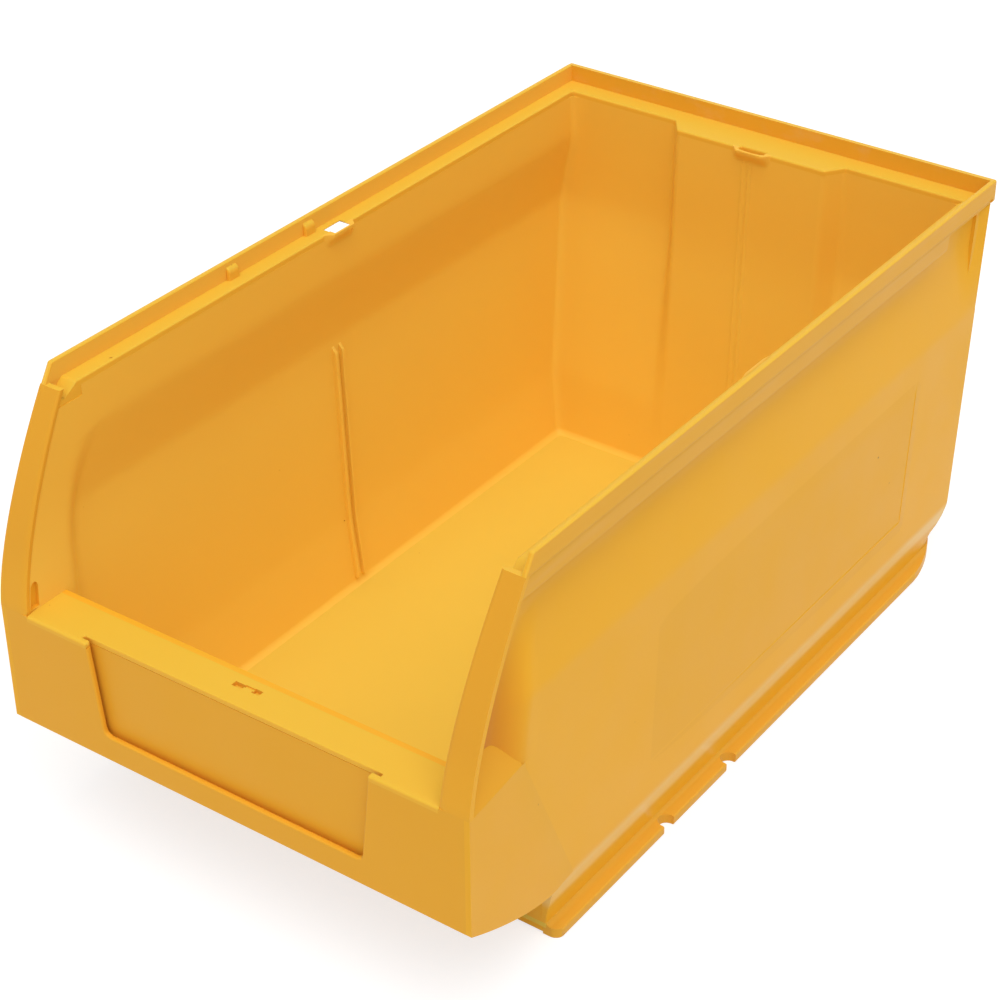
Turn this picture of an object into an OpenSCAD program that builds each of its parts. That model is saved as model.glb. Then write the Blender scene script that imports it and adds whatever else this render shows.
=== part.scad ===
// Stackable open-front storage bin, one polypropylene moulding described region by region.
// Millimetres. +Z up, front toward -Y, origin at the centre of the footprint on the ground.

/* [Overall] */
// outside width across the rim
bin_w = 230; // [210:1:260]
// outside length, label panel to rear rim
bin_l = 400; // [370:1:440]
// outside height, ground to rim top
bin_h = 200; // [190:1:220]

/* [Walls] */
// wall thickness of every skin
wall = 2.5; // [2:0.1:3]
// top of the floor above the ground
floor_z = 6; // [5.5:0.1:7]
// thickness of the floor pan
floor_t = 2.5; // [2:0.1:3]
// how far the floor pan's edge stands in from the outside
pan_inset = 10.5; // [9:0.5:11.5]
// how far the floor's edge inside stands in from the outside
floor_inset = 13; // [12.5:0.5:15]
// how far the flat frame of a wall stands in from the outside, at the sill
shoulder = 13.5; // [12:0.5:14]
// how much less it stands in at the ledge
shoulder_taper = 3.5; // [2:0.5:4]

/* [Bulge of the side walls] */
// height of the fold inside, where floor curve and wall meet
fold_z = 42; // [36:1:48]
// how far the wall's inside stands in at the fold
fold_inset = 8.7; // [8:0.1:9.5]
// height of the heel outside
heel_z = 27; // [24:1:32]
// how far the wall's outside stands in at the heel
heel_inset = 5.8; // [5:0.1:6.5]
// height of the foot of the heel's chamfer
web_z = 11.5; // [10:0.5:14]
// how far the chamfer's foot stands in
web_inset = 10; // [9:0.5:10.5]
// how far the crest of the bulge stands in outside
crest_inset = 2.5; // [2:0.1:3]
// front edge of the bulge, behind the label panel
bulge_front = 26; // [24:1:30]
// how much farther back the bulge begins at its top corner
bulge_round = 23; // [18:1:28]
// length over which the bulge rises out of the frame
blend = 13; // [10:1:16]

/* [Rim] */
// height of the rim above the stacking ledge
rim_rise = 8; // [7:0.5:10]
// thickness of the stacking ledge
ledge_t = 2.5; // [2:0.1:3]
// how far the ledge's inner edge stands in from the outside
ledge_inset = 10; // [9.5:0.5:11]
// how far the ledge's lower landing reaches behind the front edge
landing_l = 46; // [43:1:50]
// drop of that landing below the ledge
landing_drop = 4.5; // [3:0.5:6]
// height of the strip that hangs under the side rims
apron_h = 7.5; // [5:0.5:9]
// distance from the rear at which the strip ends
apron_end = 43; // [30:1:50]
// thickness of the rear rim
rear_rim_t = 3; // [2.5:0.5:4]

/* [Front] */
// height of the sill above the ground
sill_z = 107; // [104:1:110]
// depth of the sill shelf
sill_d = 20; // [18:1:24]
// height of the lower edge of the label panel
skirt_z = 52.5; // [50:0.5:56]
// how far the front edges lean back up to the rim
lean = 36; // [32:1:40]
// how far the foot of the inner front wall stands behind the label panel
foot_back = 63; // [58:1:66]
// length of the cheeks along the sides
cheek_l = 75; // [70:1:80]
// length over which a cheek's lower edge curls down
cheek_curl = 62; // [55:1:66]
// height of the seat for a front insert beside the sill
insert_h = 13; // [8:1:16]

/* [Rear] */
// how far the rear wall stands in at the ledge
rear_top = 13.2; // [12:0.2:15]
// how far it stands in at the floor
rear_foot_in = 27.5; // [24:0.5:30]
// width of the middle panel of the rear wall
mid_w = 79; // [70:1:90]
// how far the middle panel stands in at the ledge
mid_top = 22.3; // [20:0.1:24]
// width of the step on each side of it
step_w = 6.5; // [4:0.5:10]

/* [Label pocket] */
// clear height of the label window
label_h = 43; // [38:1:44]
// width of the window at its foot
label_w_low = 130; // [120:1:138]
// width of the window at the sill
label_w_top = 139; // [139:1:142]
// depth of the slot behind the lips
card_gap = 1.5; // [1.2:0.1:1.5]
// how far the slot reaches behind the lips at the sides
card_lap = 4; // [3:0.5:5]
// thickness of the pocket's back
back_t = 2.2; // [2:0.1:3]

/* [Stacking] */
// play of the foot rails between the rims of the bin below
rail_play = 1.7; // [1.2:0.1:2.5]
// height of the foot rail's outward lip
lip_t = 4.6; // [4:0.1:5]
// radius of the broad rear corners of the base
base_r = 40; // [30:1:50]
// distance between the two stacking nubs of a side
nub_pitch = 50; // [40:1:60]
// place of the middle between the nubs along the bin
nub_mid_y = -31; // [-40:1:-28]
// length of a nub along the rim
nub_l = 6.4; // [5:0.2:8]
// how far a nub stands out of the rim
nub_h = 2; // [1.8:0.1:2.6]
// clearance round a nub in its notch
nub_play = 0.7; // [0.4:0.1:1]

/* [Dividers] */
// place of the cross divider along the bin
cross_y = 6; // [0:1:12]
// gap between the two ribs that hold the cross divider
rib_gap = 3; // [2.4:0.1:4]
// thickness of a rib
rib_t = 1.8; // [1.2:0.1:2.4]
// how far a rib stands out of the wall
rib_h = 2.2; // [1.5:0.1:3]
// gap between the ribs for the long divider
rear_rib_gap = 1.8; // [1.6:0.1:3]
// height of the ribs for the long divider
rear_rib_h = 1.6; // [1.4:0.1:3]
// length of a divider seat's slot
seat_l = 10.6; // [9:0.2:12]
// width of a divider seat's slot
seat_w = 6.4; // [5:0.2:7]
// wall round a divider seat's slot
seat_t = 1.8; // [1.4:0.1:2]
// depth of the divider seats
seat_h = 8; // [6:0.5:10]

/* [Side pads] */
// distance from the label panel to a pad
pad_front = 88; // [84:1:120]
// distance from the rear to a pad
pad_rear = 52; // [40:1:80]
// height of a pad's lower edge
pad_low = 38; // [36:1:50]
// how far a pad stands out of the wall
pad_t = 0.5; // [0.3:0.1:0.6]

/* [Node] */
// node to build

/* [Hidden] */
hx = bin_w / 2;
hy = bin_l / 2;
ledge_z = bin_h - rim_rise;
under_z = ledge_z - ledge_t;
apron_z = under_z - apron_h;
rise = bin_h - sill_z;
crease_z = sill_z + rise * 0.312;
strip_z = sill_z + rise * 0.677;
pan_z = floor_z - floor_t;
foot_y = foot_back - hy;
sill_y = sill_d - hy;
landing_y = landing_l - hy;
cheek_y = cheek_l - hy;
rear_in = hy - rear_top;
rear_low = hy - rear_foot_in;
rear_mid = hy - mid_top;
join_y = rear_in - wall;
fin_y = hy - rear_rim_t;
flare_y = fin_y - 5 * wall;
pan_rear = rear_low + wall;
rail_rear = rear_low - wall / 5;
base_rear = fin_y - wall;
pan_x = hx - pan_inset;
ledge_in = hx - ledge_inset;
rim_in = hx - wall;
rail_x = rim_in - rail_play;
half_low = mid_w / 2;
half_top = half_low + step_w;
seat_in = ledge_in - seat_t;
seat_top = seat_in + seat_w;
pad_top = sill_z + rise * 0.17;

// rows of the wall surfaces, low and high
ZL = [floor_z, web_z, heel_z, fold_z, 0.5 * (fold_z + sill_z) - wall * 4,
  0.5 * (fold_z + sill_z) + wall * 4, sill_z - wall, sill_z];
ZU = [sill_z, sill_z + rise * 0.08, sill_z + rise * 0.17, crease_z, sill_z + rise * 0.43,
  sill_z + rise * 0.55, sill_z + rise * 0.63, strip_z, sill_z + rise * 0.78, under_z];

function flat(l) = [for (a = l) each a];
function smooth(t) = let (c = max(0, min(1, t))) c * c * (3 - 2 * c);
function mix(a, b, t) = a + (b - a) * t;
function up(z) = max(0, (z - sill_z) / rise);

// front edge of the opening, and the front face of the inner front wall
function front_y(z) = -hy + lean * pow(up(z), 1.36);
function inner_y(z) = z < heel_z
  ? foot_y - 2 * (z - pan_z) / (heel_z - pan_z)
  : mix(foot_y - 2, sill_y, (z - heel_z) / (sill_z - heel_z));

// inside face of the flat frame round the bulge, and of the bulge itself
function frame_in(z) = hx - shoulder
  + shoulder_taper * max(0, (z - sill_z) / (ledge_z - sill_z));
function frame_out(z) = frame_in(z) + wall;
function bulge_in(z) = lookup(z, [[floor_z, hx - floor_inset], [fold_z, hx - fold_inset],
  [crease_z, hx - crest_inset - wall], [strip_z, frame_in(strip_z)],
  [under_z, frame_in(under_z)]]);
function bulge_out(z) = lookup(z, [[floor_z, pan_x], [web_z, hx - web_inset],
  [heel_z, hx - heel_inset], [crease_z, hx - crest_inset], [strip_z, frame_out(strip_z)],
  [under_z, frame_out(under_z)]]);

// front edge of the bulge, a quarter of an ellipse
function bulge_u(z) = max(0, min(1, (z - sill_z) / (strip_z - sill_z)));
function bulge_y(z) = -hy + bulge_front + bulge_round * (1 - sqrt(1 - pow(bulge_u(z), 2)));
function wall_in(y, z) = mix(frame_in(z), bulge_in(z), smooth((y - bulge_y(z)) / blend));
function wall_out(y, z) = mix(frame_out(z), bulge_out(z), smooth((y - bulge_y(z)) / blend));

// outside of the rear corner post, flaring back to full width above the crease
function post_x(z) = z < crease_z ? bulge_out(z)
  : mix(bulge_out(crease_z), hx - wall / 3, (z - crease_z) / (under_z - crease_z));
function rear_out(y, z) = mix(wall_out(y, z), post_x(z), (y - flare_y) / (fin_y - flare_y));

// lower edge, outside and inside of the front cheek
function cheek_z(y) = heel_z
  + (skirt_z - heel_z) * pow(max(0, 1 - (y + hy) / cheek_curl), 1.43);
function cheek_out(y, z) = mix(hx, bulge_out(z) + wall / 8, (y + hy) / cheek_l);
function cheek_in(y, z) = y < 0.44 * cheek_l - hy
  ? min(rim_in, cheek_out(y, z) - wall) : bulge_out(z);

// closed solid between two grids of points of the same size
module between(a, b) {
  nr = len(a);
  nc = len(a[0]);
  n = nr * nc;
  polyhedron(points = concat(flat(a), flat(b)), convexity = 8, faces = concat(
    [for (r = [0:nr - 2], c = [0:nc - 2]) each
      [[r * nc + c, (r + 1) * nc + c, r * nc + c + 1],
       [r * nc + c + 1, (r + 1) * nc + c, (r + 1) * nc + c + 1]]],
    [for (r = [0:nr - 2], c = [0:nc - 2]) each
      [[n + r * nc + c, n + r * nc + c + 1, n + (r + 1) * nc + c],
       [n + r * nc + c + 1, n + (r + 1) * nc + c + 1, n + (r + 1) * nc + c]]],
    [for (c = [0:nc - 2]) each
      [[c, c + 1, n + c], [c + 1, n + c + 1, n + c]]],
    [for (c = [0:nc - 2], o = [(nr - 1) * nc]) each
      [[o + c, n + o + c, o + c + 1], [o + c + 1, n + o + c, n + o + c + 1]]],
    [for (r = [0:nr - 2]) each
      [[r * nc, n + r * nc, (r + 1) * nc], [n + r * nc, n + (r + 1) * nc, (r + 1) * nc]]],
    [for (r = [0:nr - 2], o = [nc - 1]) each
      [[r * nc + o, (r + 1) * nc + o, n + r * nc + o],
       [n + r * nc + o, (r + 1) * nc + o, n + (r + 1) * nc + o]]]));
}

// draws a right-hand part, or its mirror image for the left
module side(s) {
  mirror([s < 0 ? 1 : 0, 0, 0]) children();
}

// profile in the Y-Z plane, swept across from x0 to x1
module sweep_x(x0, x1, pts) {
  translate([x0, 0, 0])
    rotate([90, 0, 90])
      linear_extrude(x1 - x0)
        polygon(pts);
}

// profile in the X-Z plane, swept along from y0 to y1
module sweep_y(y0, y1, pts) {
  translate([0, y1, 0])
    rotate([90, 0, 0])
      linear_extrude(y1 - y0)
        polygon(pts);
}

module block(x0, x1, y0, y1, z0, z1) {
  translate([x0, y0, z0])
    cube([x1 - x0, y1 - y0, z1 - z0]);
}

// columns of the wall: the lower ones follow the inner front wall, the upper ones the bulge
plain_y = bulge_front + bulge_round + blend + landing_l - 10 - hy;
function low_cols(z) = concat([inner_y(z)],
  [for (k = [0, 0.068, 0.15, 0.25, 0.343, 0.65, 1]) mix(inner_y(z) + wall, cheek_y, k)],
  [fin_y]);
function high_cols(z) = concat([front_y(z) + wall],
  [for (k = [0, 0.25, 0.5, 0.75, 1]) bulge_y(z) + blend * k],
  [plain_y, flare_y, rear_in + wall, fin_y]);
function out_at(y, z, high) = high && y >= flare_y ? rear_out(y, z) : wall_out(y, z);
function in_at(y, z, high) = high && y >= fin_y
  ? max(wall_in(y, z), post_x(z) - wall) : wall_in(y, z);

module wall_part(rows, high) {
  between(
    [for (z = rows) [for (y = high ? high_cols(z) : low_cols(z)) [out_at(y, z, high), y, z]]],
    [for (z = rows) [for (y = high ? high_cols(z) : low_cols(z)) [in_at(y, z, high), y, z]]]);
}

// slot for the ears of the cross divider, wider below the ledge
module cross_slot() {
  block(seat_in, seat_top, cross_y - seat_l / 2, cross_y + seat_l / 2,
    ledge_z - seat_h + seat_t, bin_h);
  block(seat_in, seat_top + seat_t, cross_y - seat_l / 2, cross_y + seat_l / 2 + seat_t,
    ledge_z - seat_h + seat_t, under_z + ledge_t / 3);
}

module side_wall() {
  color("#F3B23C")
    difference() {
      union() {
        wall_part(ZL, false);
        wall_part(ZU, true);
      }
      // lower landing of the ledge behind the front flange
      block(ledge_in - 6, rim_in + 1, -hy, landing_y, under_z - landing_drop, bin_h);
      cross_slot();
      // seat for a front insert beside the sill
      block(ledge_in - 6, ledge_in, 4 - hy, 9 - hy, sill_z, sill_z + insert_h);
    }
}

module floor_panel() {
  color("#F5B840")
    block(-pan_x, pan_x, foot_y, pan_rear, pan_z, floor_z);
}

// rear wall: flat middle, outer parts stepped back toward the top
RZ = [floor_z, web_z, heel_z, fold_z, sill_z, crease_z, strip_z, under_z];
function rear_side_y(z) = lookup(z, [[floor_z, rear_low], [fold_z, rear_low + 1.5],
  [crease_z, rear_in - 0.8], [strip_z, rear_in], [under_z, rear_in]]);
function rear_mid_y(z) = min(rear_side_y(z), mix(rear_low - 0.5, rear_mid, z / ledge_z));
function rear_row(z, d) = [for (k = [[-1, 2], [-half_top, 1], [-half_low, 0],
    [half_low, 0], [half_top, 1], [1, 2]])
  [k[1] == 2 ? k[0] * bulge_in(z) : k[0], (k[1] == 0 ? rear_mid_y(z) : rear_side_y(z)) + d, z]];

module rear_wall() {
  color("#E79C36")
    between([for (z = RZ) rear_row(z, 0)], [for (z = RZ) rear_row(z, wall)]);
}

module inner_front_wall() {
  color("#E9A63A")
    between([for (z = ZL) [for (s = [-1, 1]) [s * wall_in(inner_y(z), z), inner_y(z), z]]],
      [for (z = ZL) [for (s = [-1, 1]) [s * wall_in(inner_y(z) + wall, z), inner_y(z) + wall, z]]]);
}

pocket_x = label_w_top / 2 + 2 * card_lap;
pocket_z = sill_z - label_h - 2 * card_lap + 1;

module front_sill() {
  x1 = cheek_in(sill_y, sill_z);
  color("#F1BD45")
    translate([0, 0, sill_z - wall])
      linear_extrude(wall)
        difference() {
          polygon([[-rim_in, wall - hy], [-pocket_x, wall - hy],
            [-pocket_x, wall - hy + card_gap + back_t], [pocket_x, wall - hy + card_gap + back_t],
            [pocket_x, wall - hy], [rim_in, wall - hy], [x1, sill_y], [-x1, sill_y]]);
          // divider slot, two small openings with a tongue between
          for (s = [-1, 1])
            translate([s * 5.75 - 1.75, sill_y - 6.8])
              square([3.5, 2.8]);
        }
}

module label_panel() {
  z0 = sill_z - label_h;
  color("#DD9B3C")
    difference() {
      block(-rim_in, rim_in, -hy, wall - hy, skirt_z, sill_z);
      translate([0, wall - hy + 1, 0])
        rotate([90, 0, 0])
          linear_extrude(wall + 2)
            polygon([[-label_w_low / 2 + 3, z0], [label_w_low / 2 - 3, z0],
              [label_w_low / 2 - 0.7, z0 + 1], [label_w_low / 2, z0 + 3.2],
              [label_w_top / 2, sill_z + 1], [-label_w_top / 2, sill_z + 1],
              [-label_w_low / 2, z0 + 3.2], [-label_w_low / 2 + 0.7, z0 + 1]]);
    }
}

module label_pocket() {
  color("#D99638")
    difference() {
      block(-pocket_x, pocket_x, wall - hy, wall - hy + card_gap + back_t, pocket_z, sill_z);
      block(-pocket_x + card_lap, pocket_x - card_lap, -hy, wall - hy + card_gap,
        pocket_z + card_lap, sill_z + 1);
    }
}

FZ = concat(ZU, [ledge_z]);
function flange_x(z) = frame_in(z) - wall / 6;

module front_flange() {
  color("#E0A036")
    between([for (z = FZ) [for (x = [hx, flange_x(z)]) [x, front_y(z) + wall, z]]],
      [for (z = FZ) [for (x = [hx, flange_x(z)]) [x, front_y(z), z]]]);
}

CY = concat([-hy, wall - hy],
  [for (k = [0.09, 0.17, 0.26, 0.34, 0.43, 0.52, 0.61, 0.72, 0.83, 1]) k * cheek_l - hy]);
function cheek_rows(y) = [cheek_z(y), mix(cheek_z(y), sill_z, 0.5), sill_z];

module front_cheek() {
  color("#E6A843")
    between([for (r = [0:2]) [for (y = CY) let (z = cheek_rows(y)[r]) [cheek_out(y, z), y, z]]],
      [for (r = [0:2]) [for (y = CY) let (z = cheek_rows(y)[r])
        [y <= wall - hy ? rim_in : cheek_in(y, z), y, z]]]);
}

// sloping web that closes the hollow behind the front flange
function web_top(y) = sill_z + 1.5 * (cheek_out(y, sill_z) - wall_out(y, sill_z + rise * 0.08));
function web_foot(y) = max(cheek_out(y, sill_z) - wall, wall_out(y, sill_z) + wall / 20);
WY = concat([bulge_front * 0.3 - hy, bulge_front * 0.65 - hy],
  [for (k = [0, 0.25, 0.5, 0.75, 1]) bulge_front + blend * k - hy]);
web_t0 = web_top(wall - hy);

module corner_web() {
  color("#E1A438")
    between(
      [concat([[cheek_out(wall - hy, sill_z), wall - hy, sill_z]],
          [for (y = WY) [cheek_out(y, sill_z), y, sill_z]]),
        concat([[frame_out(web_t0), front_y(web_t0) + wall, web_t0]],
          [for (y = WY) [wall_out(y, web_top(y)), y, web_top(y)]])],
      [concat([[web_foot(wall - hy), wall - hy, sill_z]],
          [for (y = WY) [web_foot(y), y, sill_z]]),
        concat([[frame_out(web_t0 - wall), front_y(web_t0 - wall) + wall, web_t0 - wall]],
          [for (y = WY) let (z = web_top(y) - min(wall, 0.6 * (web_top(y) - sill_z)))
            [wall_out(y, z), y, z]])]);
}

module ledge() {
  low_z = under_z - landing_drop;
  color("#F3BC46")
    difference() {
      union() {
        block(ledge_in, rim_in, landing_y - ledge_t, join_y, under_z, ledge_z);
        sweep_x(ledge_in, rim_in, [[landing_y - ledge_t, under_z], [landing_y, under_z],
          [landing_y, low_z], [front_y(low_z) + wall, low_z],
          [front_y(low_z + ledge_t) + wall, low_z + ledge_t],
          [landing_y - ledge_t, low_z + ledge_t]]);
      }
      cross_slot();
    }
}

module rear_ledge() {
  color("#F3BB47")
    difference() {
      translate([0, 0, under_z])
        linear_extrude(ledge_t)
          polygon([[-rim_in, join_y], [-ledge_in, join_y], [-ledge_in, rear_in],
            [-half_top, rear_in], [-half_low, rear_mid], [half_low, rear_mid],
            [half_top, rear_in], [ledge_in, rear_in], [ledge_in, join_y],
            [rim_in, join_y], [rim_in, fin_y], [-rim_in, fin_y]]);
      long_slot();
    }
}

// blind slot for the ear of the long divider
module long_slot() {
  block(-seat_l / 2, seat_l / 2, rear_mid - seat_w + wall, rear_mid + wall,
    ledge_z - ledge_t + 0.5, bin_h);
}

// collar that carries the ledge's slot inside a side wall
module side_seat() {
  x0 = seat_in - seat_t;
  color("#F3BC46")
    difference() {
      sweep_y(cross_y - seat_l / 2 - seat_t, cross_y + seat_l / 2 + seat_t,
        [[x0, ledge_z], [ledge_in, ledge_z], [ledge_in, under_z],
        [frame_in(under_z), under_z], [frame_in(ledge_z - seat_h), ledge_z - seat_h],
        [x0, under_z - ledge_t]]);
      cross_slot();
    }
}

module rear_seat() {
  y0 = rear_mid - seat_w + wall - seat_t;
  color("#F3BB47")
    difference() {
      sweep_x(-seat_l / 2 - seat_t, seat_l / 2 + seat_t,
        [[y0, ledge_z], [rear_mid, ledge_z], [rear_mid, under_z],
        [rear_mid_y(under_z), under_z], [rear_mid_y(ledge_z - seat_h), ledge_z - seat_h],
        [y0, under_z]]);
      long_slot();
    }
}

module side_rim() {
  color("#E4AC4C")
    sweep_x(rim_in, hx, [[front_y(bin_h), bin_h], [front_y(ledge_z), ledge_z],
      [front_y(ledge_z) + wall, ledge_z], [front_y(under_z) + wall, under_z],
      [fin_y, under_z], [fin_y, bin_h]]);
}

module rear_rim() {
  color("#E2A848")
    block(-hx, hx, fin_y, hy, under_z, bin_h);
}

// strip hanging under the side rim
module apron() {
  y1 = hy - apron_end;
  color("#DCA049")
    between([for (z = [apron_z, under_z]) [for (y = [front_y(z) + wall, y1])
        [hx - 0.4 - 0.8 * (under_z - z) / apron_h, y, z]]],
      [for (z = [apron_z, under_z]) [for (y = [front_y(z) + wall, y1]) [rim_in - 0.2, y, z]]]);
}

// foot rail with an outward lip that rests on the ledge of the bin below
module foot_rail() {
  color("#E9AB3A")
    difference() {
      sweep_y(foot_y, rail_rear, [[pan_x - 1.5, 0], [rail_x - 0.6, 0], [rail_x, 0.6],
        [rail_x, lip_t - 0.6], [rail_x - 0.6, lip_t], [pan_x + wall, lip_t],
        [pan_x + 0.9, lip_t + 0.3], [pan_x, floor_z], [pan_x, pan_z], [pan_x - 1.5, pan_z]]);
      for (k = [-1, 1])
        translate([rail_x - 1.2, nub_mid_y + k * nub_pitch / 2, -1])
          cylinder(h = lip_t + 2, r = nub_l / 2 + nub_play, $fn = 48);
      // rounded front corner
      difference() {
        block(rail_x - lip_t, rail_x + 1, foot_y - 1, foot_y + lip_t, -1, lip_t + 1);
        translate([rail_x - lip_t, foot_y + lip_t, -2])
          cylinder(h = lip_t + 4, r = lip_t, $fn = 48);
      }
    }
}

module front_foot() {
  color("#D78B39")
    sweep_x(-pan_x + 1.5, pan_x - 1.5, [[foot_y + 1, 0], [foot_y + 3.5, 0],
      [foot_y + 3.5, pan_z], [foot_y, pan_z], [foot_y, 1]]);
}

// outline of the base behind the rear wall, with its broad corners
module rear_plan(x) {
  intersection() {
    translate([-x, rail_rear])
      square([2 * x, base_rear - rail_rear]);
    union() {
      for (s = [-1, 1])
        translate([s * (rail_x - base_r), rail_rear - 2])
          circle(r = base_r, $fn = 96);
      translate([base_r - rail_x, rail_rear - 2])
        square([2 * (rail_x - base_r), base_r]);
    }
  }
}

module rear_foot() {
  color("#D99638")
    difference() {
      union() {
        linear_extrude(lip_t)
          rear_plan(rail_x);
        linear_extrude(floor_z)
          rear_plan(pan_x);
      }
      block(-pan_x, pan_x, 0, pan_rear, pan_z, floor_z + 1);
      block(-pan_x + 9, pan_x - 9, rail_rear - 1, base_rear - pan_z, -1, pan_z);
    }
}

module divider_ribs() {
  z0 = floor_z + 4;
  z1 = crease_z - 4;
  color("#F0AE3C")
    for (k = [-1, 1])
      translate([0, cross_y + k * (rib_gap + rib_t) / 2, 0])
        sweep_y(-rib_t / 2, rib_t / 2, [[bulge_in(z0), z0], [bulge_in(fold_z), fold_z],
          [bulge_in(z1), z1], [bulge_in(z1) - rib_h + 0.3, z1 - rib_h],
          [bulge_in(fold_z) - rib_h, fold_z], [bulge_in(z0) - rib_h, z0]]);
}

module rear_ribs() {
  rows = [for (z = RZ) min(z, ledge_z - seat_h)];
  n = len(rows) - 1;
  color("#EDAA3C")
    for (k = [-1, 1])
      translate([k * (rear_rib_gap + rib_t) / 2, 0, 0])
        sweep_x(-rib_t / 2, rib_t / 2, concat([for (z = rows) [rear_mid_y(z), z]],
          [for (i = [n:-1:0]) [rear_mid_y(rows[i]) - rear_rib_h, rows[i]]]));
}

module nubs() {
  x0 = rim_in - nub_h;
  color("#EFB544")
    for (s = [-1, 1], k = [-1, 1])
      side(s)
        sweep_y(nub_mid_y + (k * nub_pitch - nub_l) / 2, nub_mid_y + (k * nub_pitch + nub_l) / 2,
          [[x0, ledge_z], [rim_in, ledge_z], [rim_in, bin_h - nub_h], [x0, bin_h - 2 * nub_h]]);
}

module side_pad() {
  color("#EAB04C")
    sweep_y(pad_front - hy, hy - pad_rear, [[bulge_out(pad_low), pad_low],
      [bulge_out(pad_top), pad_top], [bulge_out(pad_top) + pad_t, pad_top - pad_t],
      [bulge_out(pad_low) + pad_t, pad_low + pad_t]]);
}

floor_panel();
side(-1) side_wall();  // left_side_wall
side(1) side_wall();  // right_side_wall
rear_wall();
inner_front_wall();
front_sill();
label_panel();
label_pocket();
side(-1) front_flange();  // left_front_flange
side(1) front_flange();  // right_front_flange
side(-1) front_cheek();  // left_front_cheek
side(1) front_cheek();  // right_front_cheek
side(-1) corner_web();  // left_corner_web
side(1) corner_web();  // right_corner_web
side(-1) ledge();  // left_ledge
side(1) ledge();  // right_ledge
rear_ledge();
side(-1) side_rim();  // left_rim
side(1) side_rim();  // right_rim
rear_rim();
side(-1) apron();  // left_apron
side(1) apron();  // right_apron
side(-1) foot_rail();  // left_foot_rail
side(1) foot_rail();  // right_foot_rail
front_foot();
rear_foot();
side(-1) divider_ribs();  // left_divider_ribs
side(1) divider_ribs();  // right_divider_ribs
rear_ribs();  // rear_divider_ribs
side(-1) side_seat();  // left_divider_seat
side(1) side_seat();  // right_divider_seat
rear_seat();  // rear_divider_seat
nubs();  // stacking_nubs
side(-1) side_pad();  // left_side_pad
side(1) side_pad();  // right_side_pad
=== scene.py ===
"""Looks of a stackable open-front storage bin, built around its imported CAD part.

The bin is one polypropylene moulding. Every region of it is built here as a finely
sampled skin or a swept profile with rounded edges, in the place of its CAD solid.
Shapes are worked out in millimetres and turned into metres when a mesh is made.
"""

import logging
import math
from dataclasses import dataclass, field
from enum import Enum
from typing import Callable, Optional, Sequence, Union

import bmesh
import bpy
from mathutils import Matrix, Vector


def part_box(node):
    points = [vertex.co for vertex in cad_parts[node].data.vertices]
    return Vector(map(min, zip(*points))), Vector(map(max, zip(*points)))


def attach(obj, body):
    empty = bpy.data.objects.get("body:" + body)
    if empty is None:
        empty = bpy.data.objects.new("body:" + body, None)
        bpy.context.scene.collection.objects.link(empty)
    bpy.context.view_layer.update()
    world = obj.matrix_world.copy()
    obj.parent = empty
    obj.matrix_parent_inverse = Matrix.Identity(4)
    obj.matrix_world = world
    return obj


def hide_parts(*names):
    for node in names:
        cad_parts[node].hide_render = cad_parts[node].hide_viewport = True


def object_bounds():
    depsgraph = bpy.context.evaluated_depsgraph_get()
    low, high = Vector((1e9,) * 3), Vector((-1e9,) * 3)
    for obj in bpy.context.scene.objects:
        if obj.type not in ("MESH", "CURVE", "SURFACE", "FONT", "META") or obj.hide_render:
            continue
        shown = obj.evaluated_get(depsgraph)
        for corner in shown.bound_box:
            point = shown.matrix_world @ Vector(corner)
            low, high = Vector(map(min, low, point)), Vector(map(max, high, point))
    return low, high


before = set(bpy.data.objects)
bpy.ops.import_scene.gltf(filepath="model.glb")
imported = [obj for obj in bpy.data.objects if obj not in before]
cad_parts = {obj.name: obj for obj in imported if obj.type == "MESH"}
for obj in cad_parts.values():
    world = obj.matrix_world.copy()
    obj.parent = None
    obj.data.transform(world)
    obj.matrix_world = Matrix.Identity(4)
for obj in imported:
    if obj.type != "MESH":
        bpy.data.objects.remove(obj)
CAD_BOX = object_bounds()

log = logging.getLogger("storage_bin")

Point2 = tuple[float, float]
Point3 = tuple[float, float, float]
Colour = tuple[float, float, float]
Grid = list[list[Optional[Point3]]]
SeamTest = Callable[[Vector, Vector], bool]
ShareTest = Callable[[Vector, Vector], float]
Tree, Node, Socket = bpy.types.NodeTree, bpy.types.Node, bpy.types.NodeSocket

MM = 0.001  # metres in a millimetre
WELD = 0.00001  # metres: corners closer than this become one
LEVEL = 0.8  # rise of a face's normal from which the face counts as level
NEAR = 0.1  # millimetres: an edge this close to a plane counts as lying on it
HAIR = 0.01  # millimetres: places closer than this are the same
SLIP = 0.02  # millimetres: how far a cut passes the face that it meets
ROUNDING_SHARE = 0.48  # the most of a line that the rounding at one end may take


class Side(Enum):
    """Left or right half of the bin, with the sign of its X."""

    LEFT = -1
    RIGHT = 1

    @property
    def label(self) -> str:
        """The side's name as the nodes spell it."""
        return self.name.lower()


class Axis(Enum):
    """Direction along which an outline is swept."""

    X = "x"
    Y = "y"
    Z = "z"

    def place(self, a: float, b: float, along: float) -> Point3:
        """Point of a swept outline.

        Args:
            a: first coordinate of the outline (Y for X, X for Y and Z).
            b: second coordinate of the outline (Z for X and Y, Y for Z).
            along: position along the sweep.

        Returns:
            The point as x, y, z.
        """
        if self is Axis.X:
            return (along, a, b)
        if self is Axis.Y:
            return (a, along, b)
        return (a, b, along)


def clamp(t: float) -> float:
    """t held between 0 and 1."""
    return max(0.0, min(1.0, t))


def smooth(t: float) -> float:
    """Ease from 0 to 1 with level ends."""
    c = clamp(t)
    return c * c * (3.0 - 2.0 * c)


def mix(a: float, b: float, t: float) -> float:
    """Value at share t of the way from a to b."""
    return a + (b - a) * t


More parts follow.
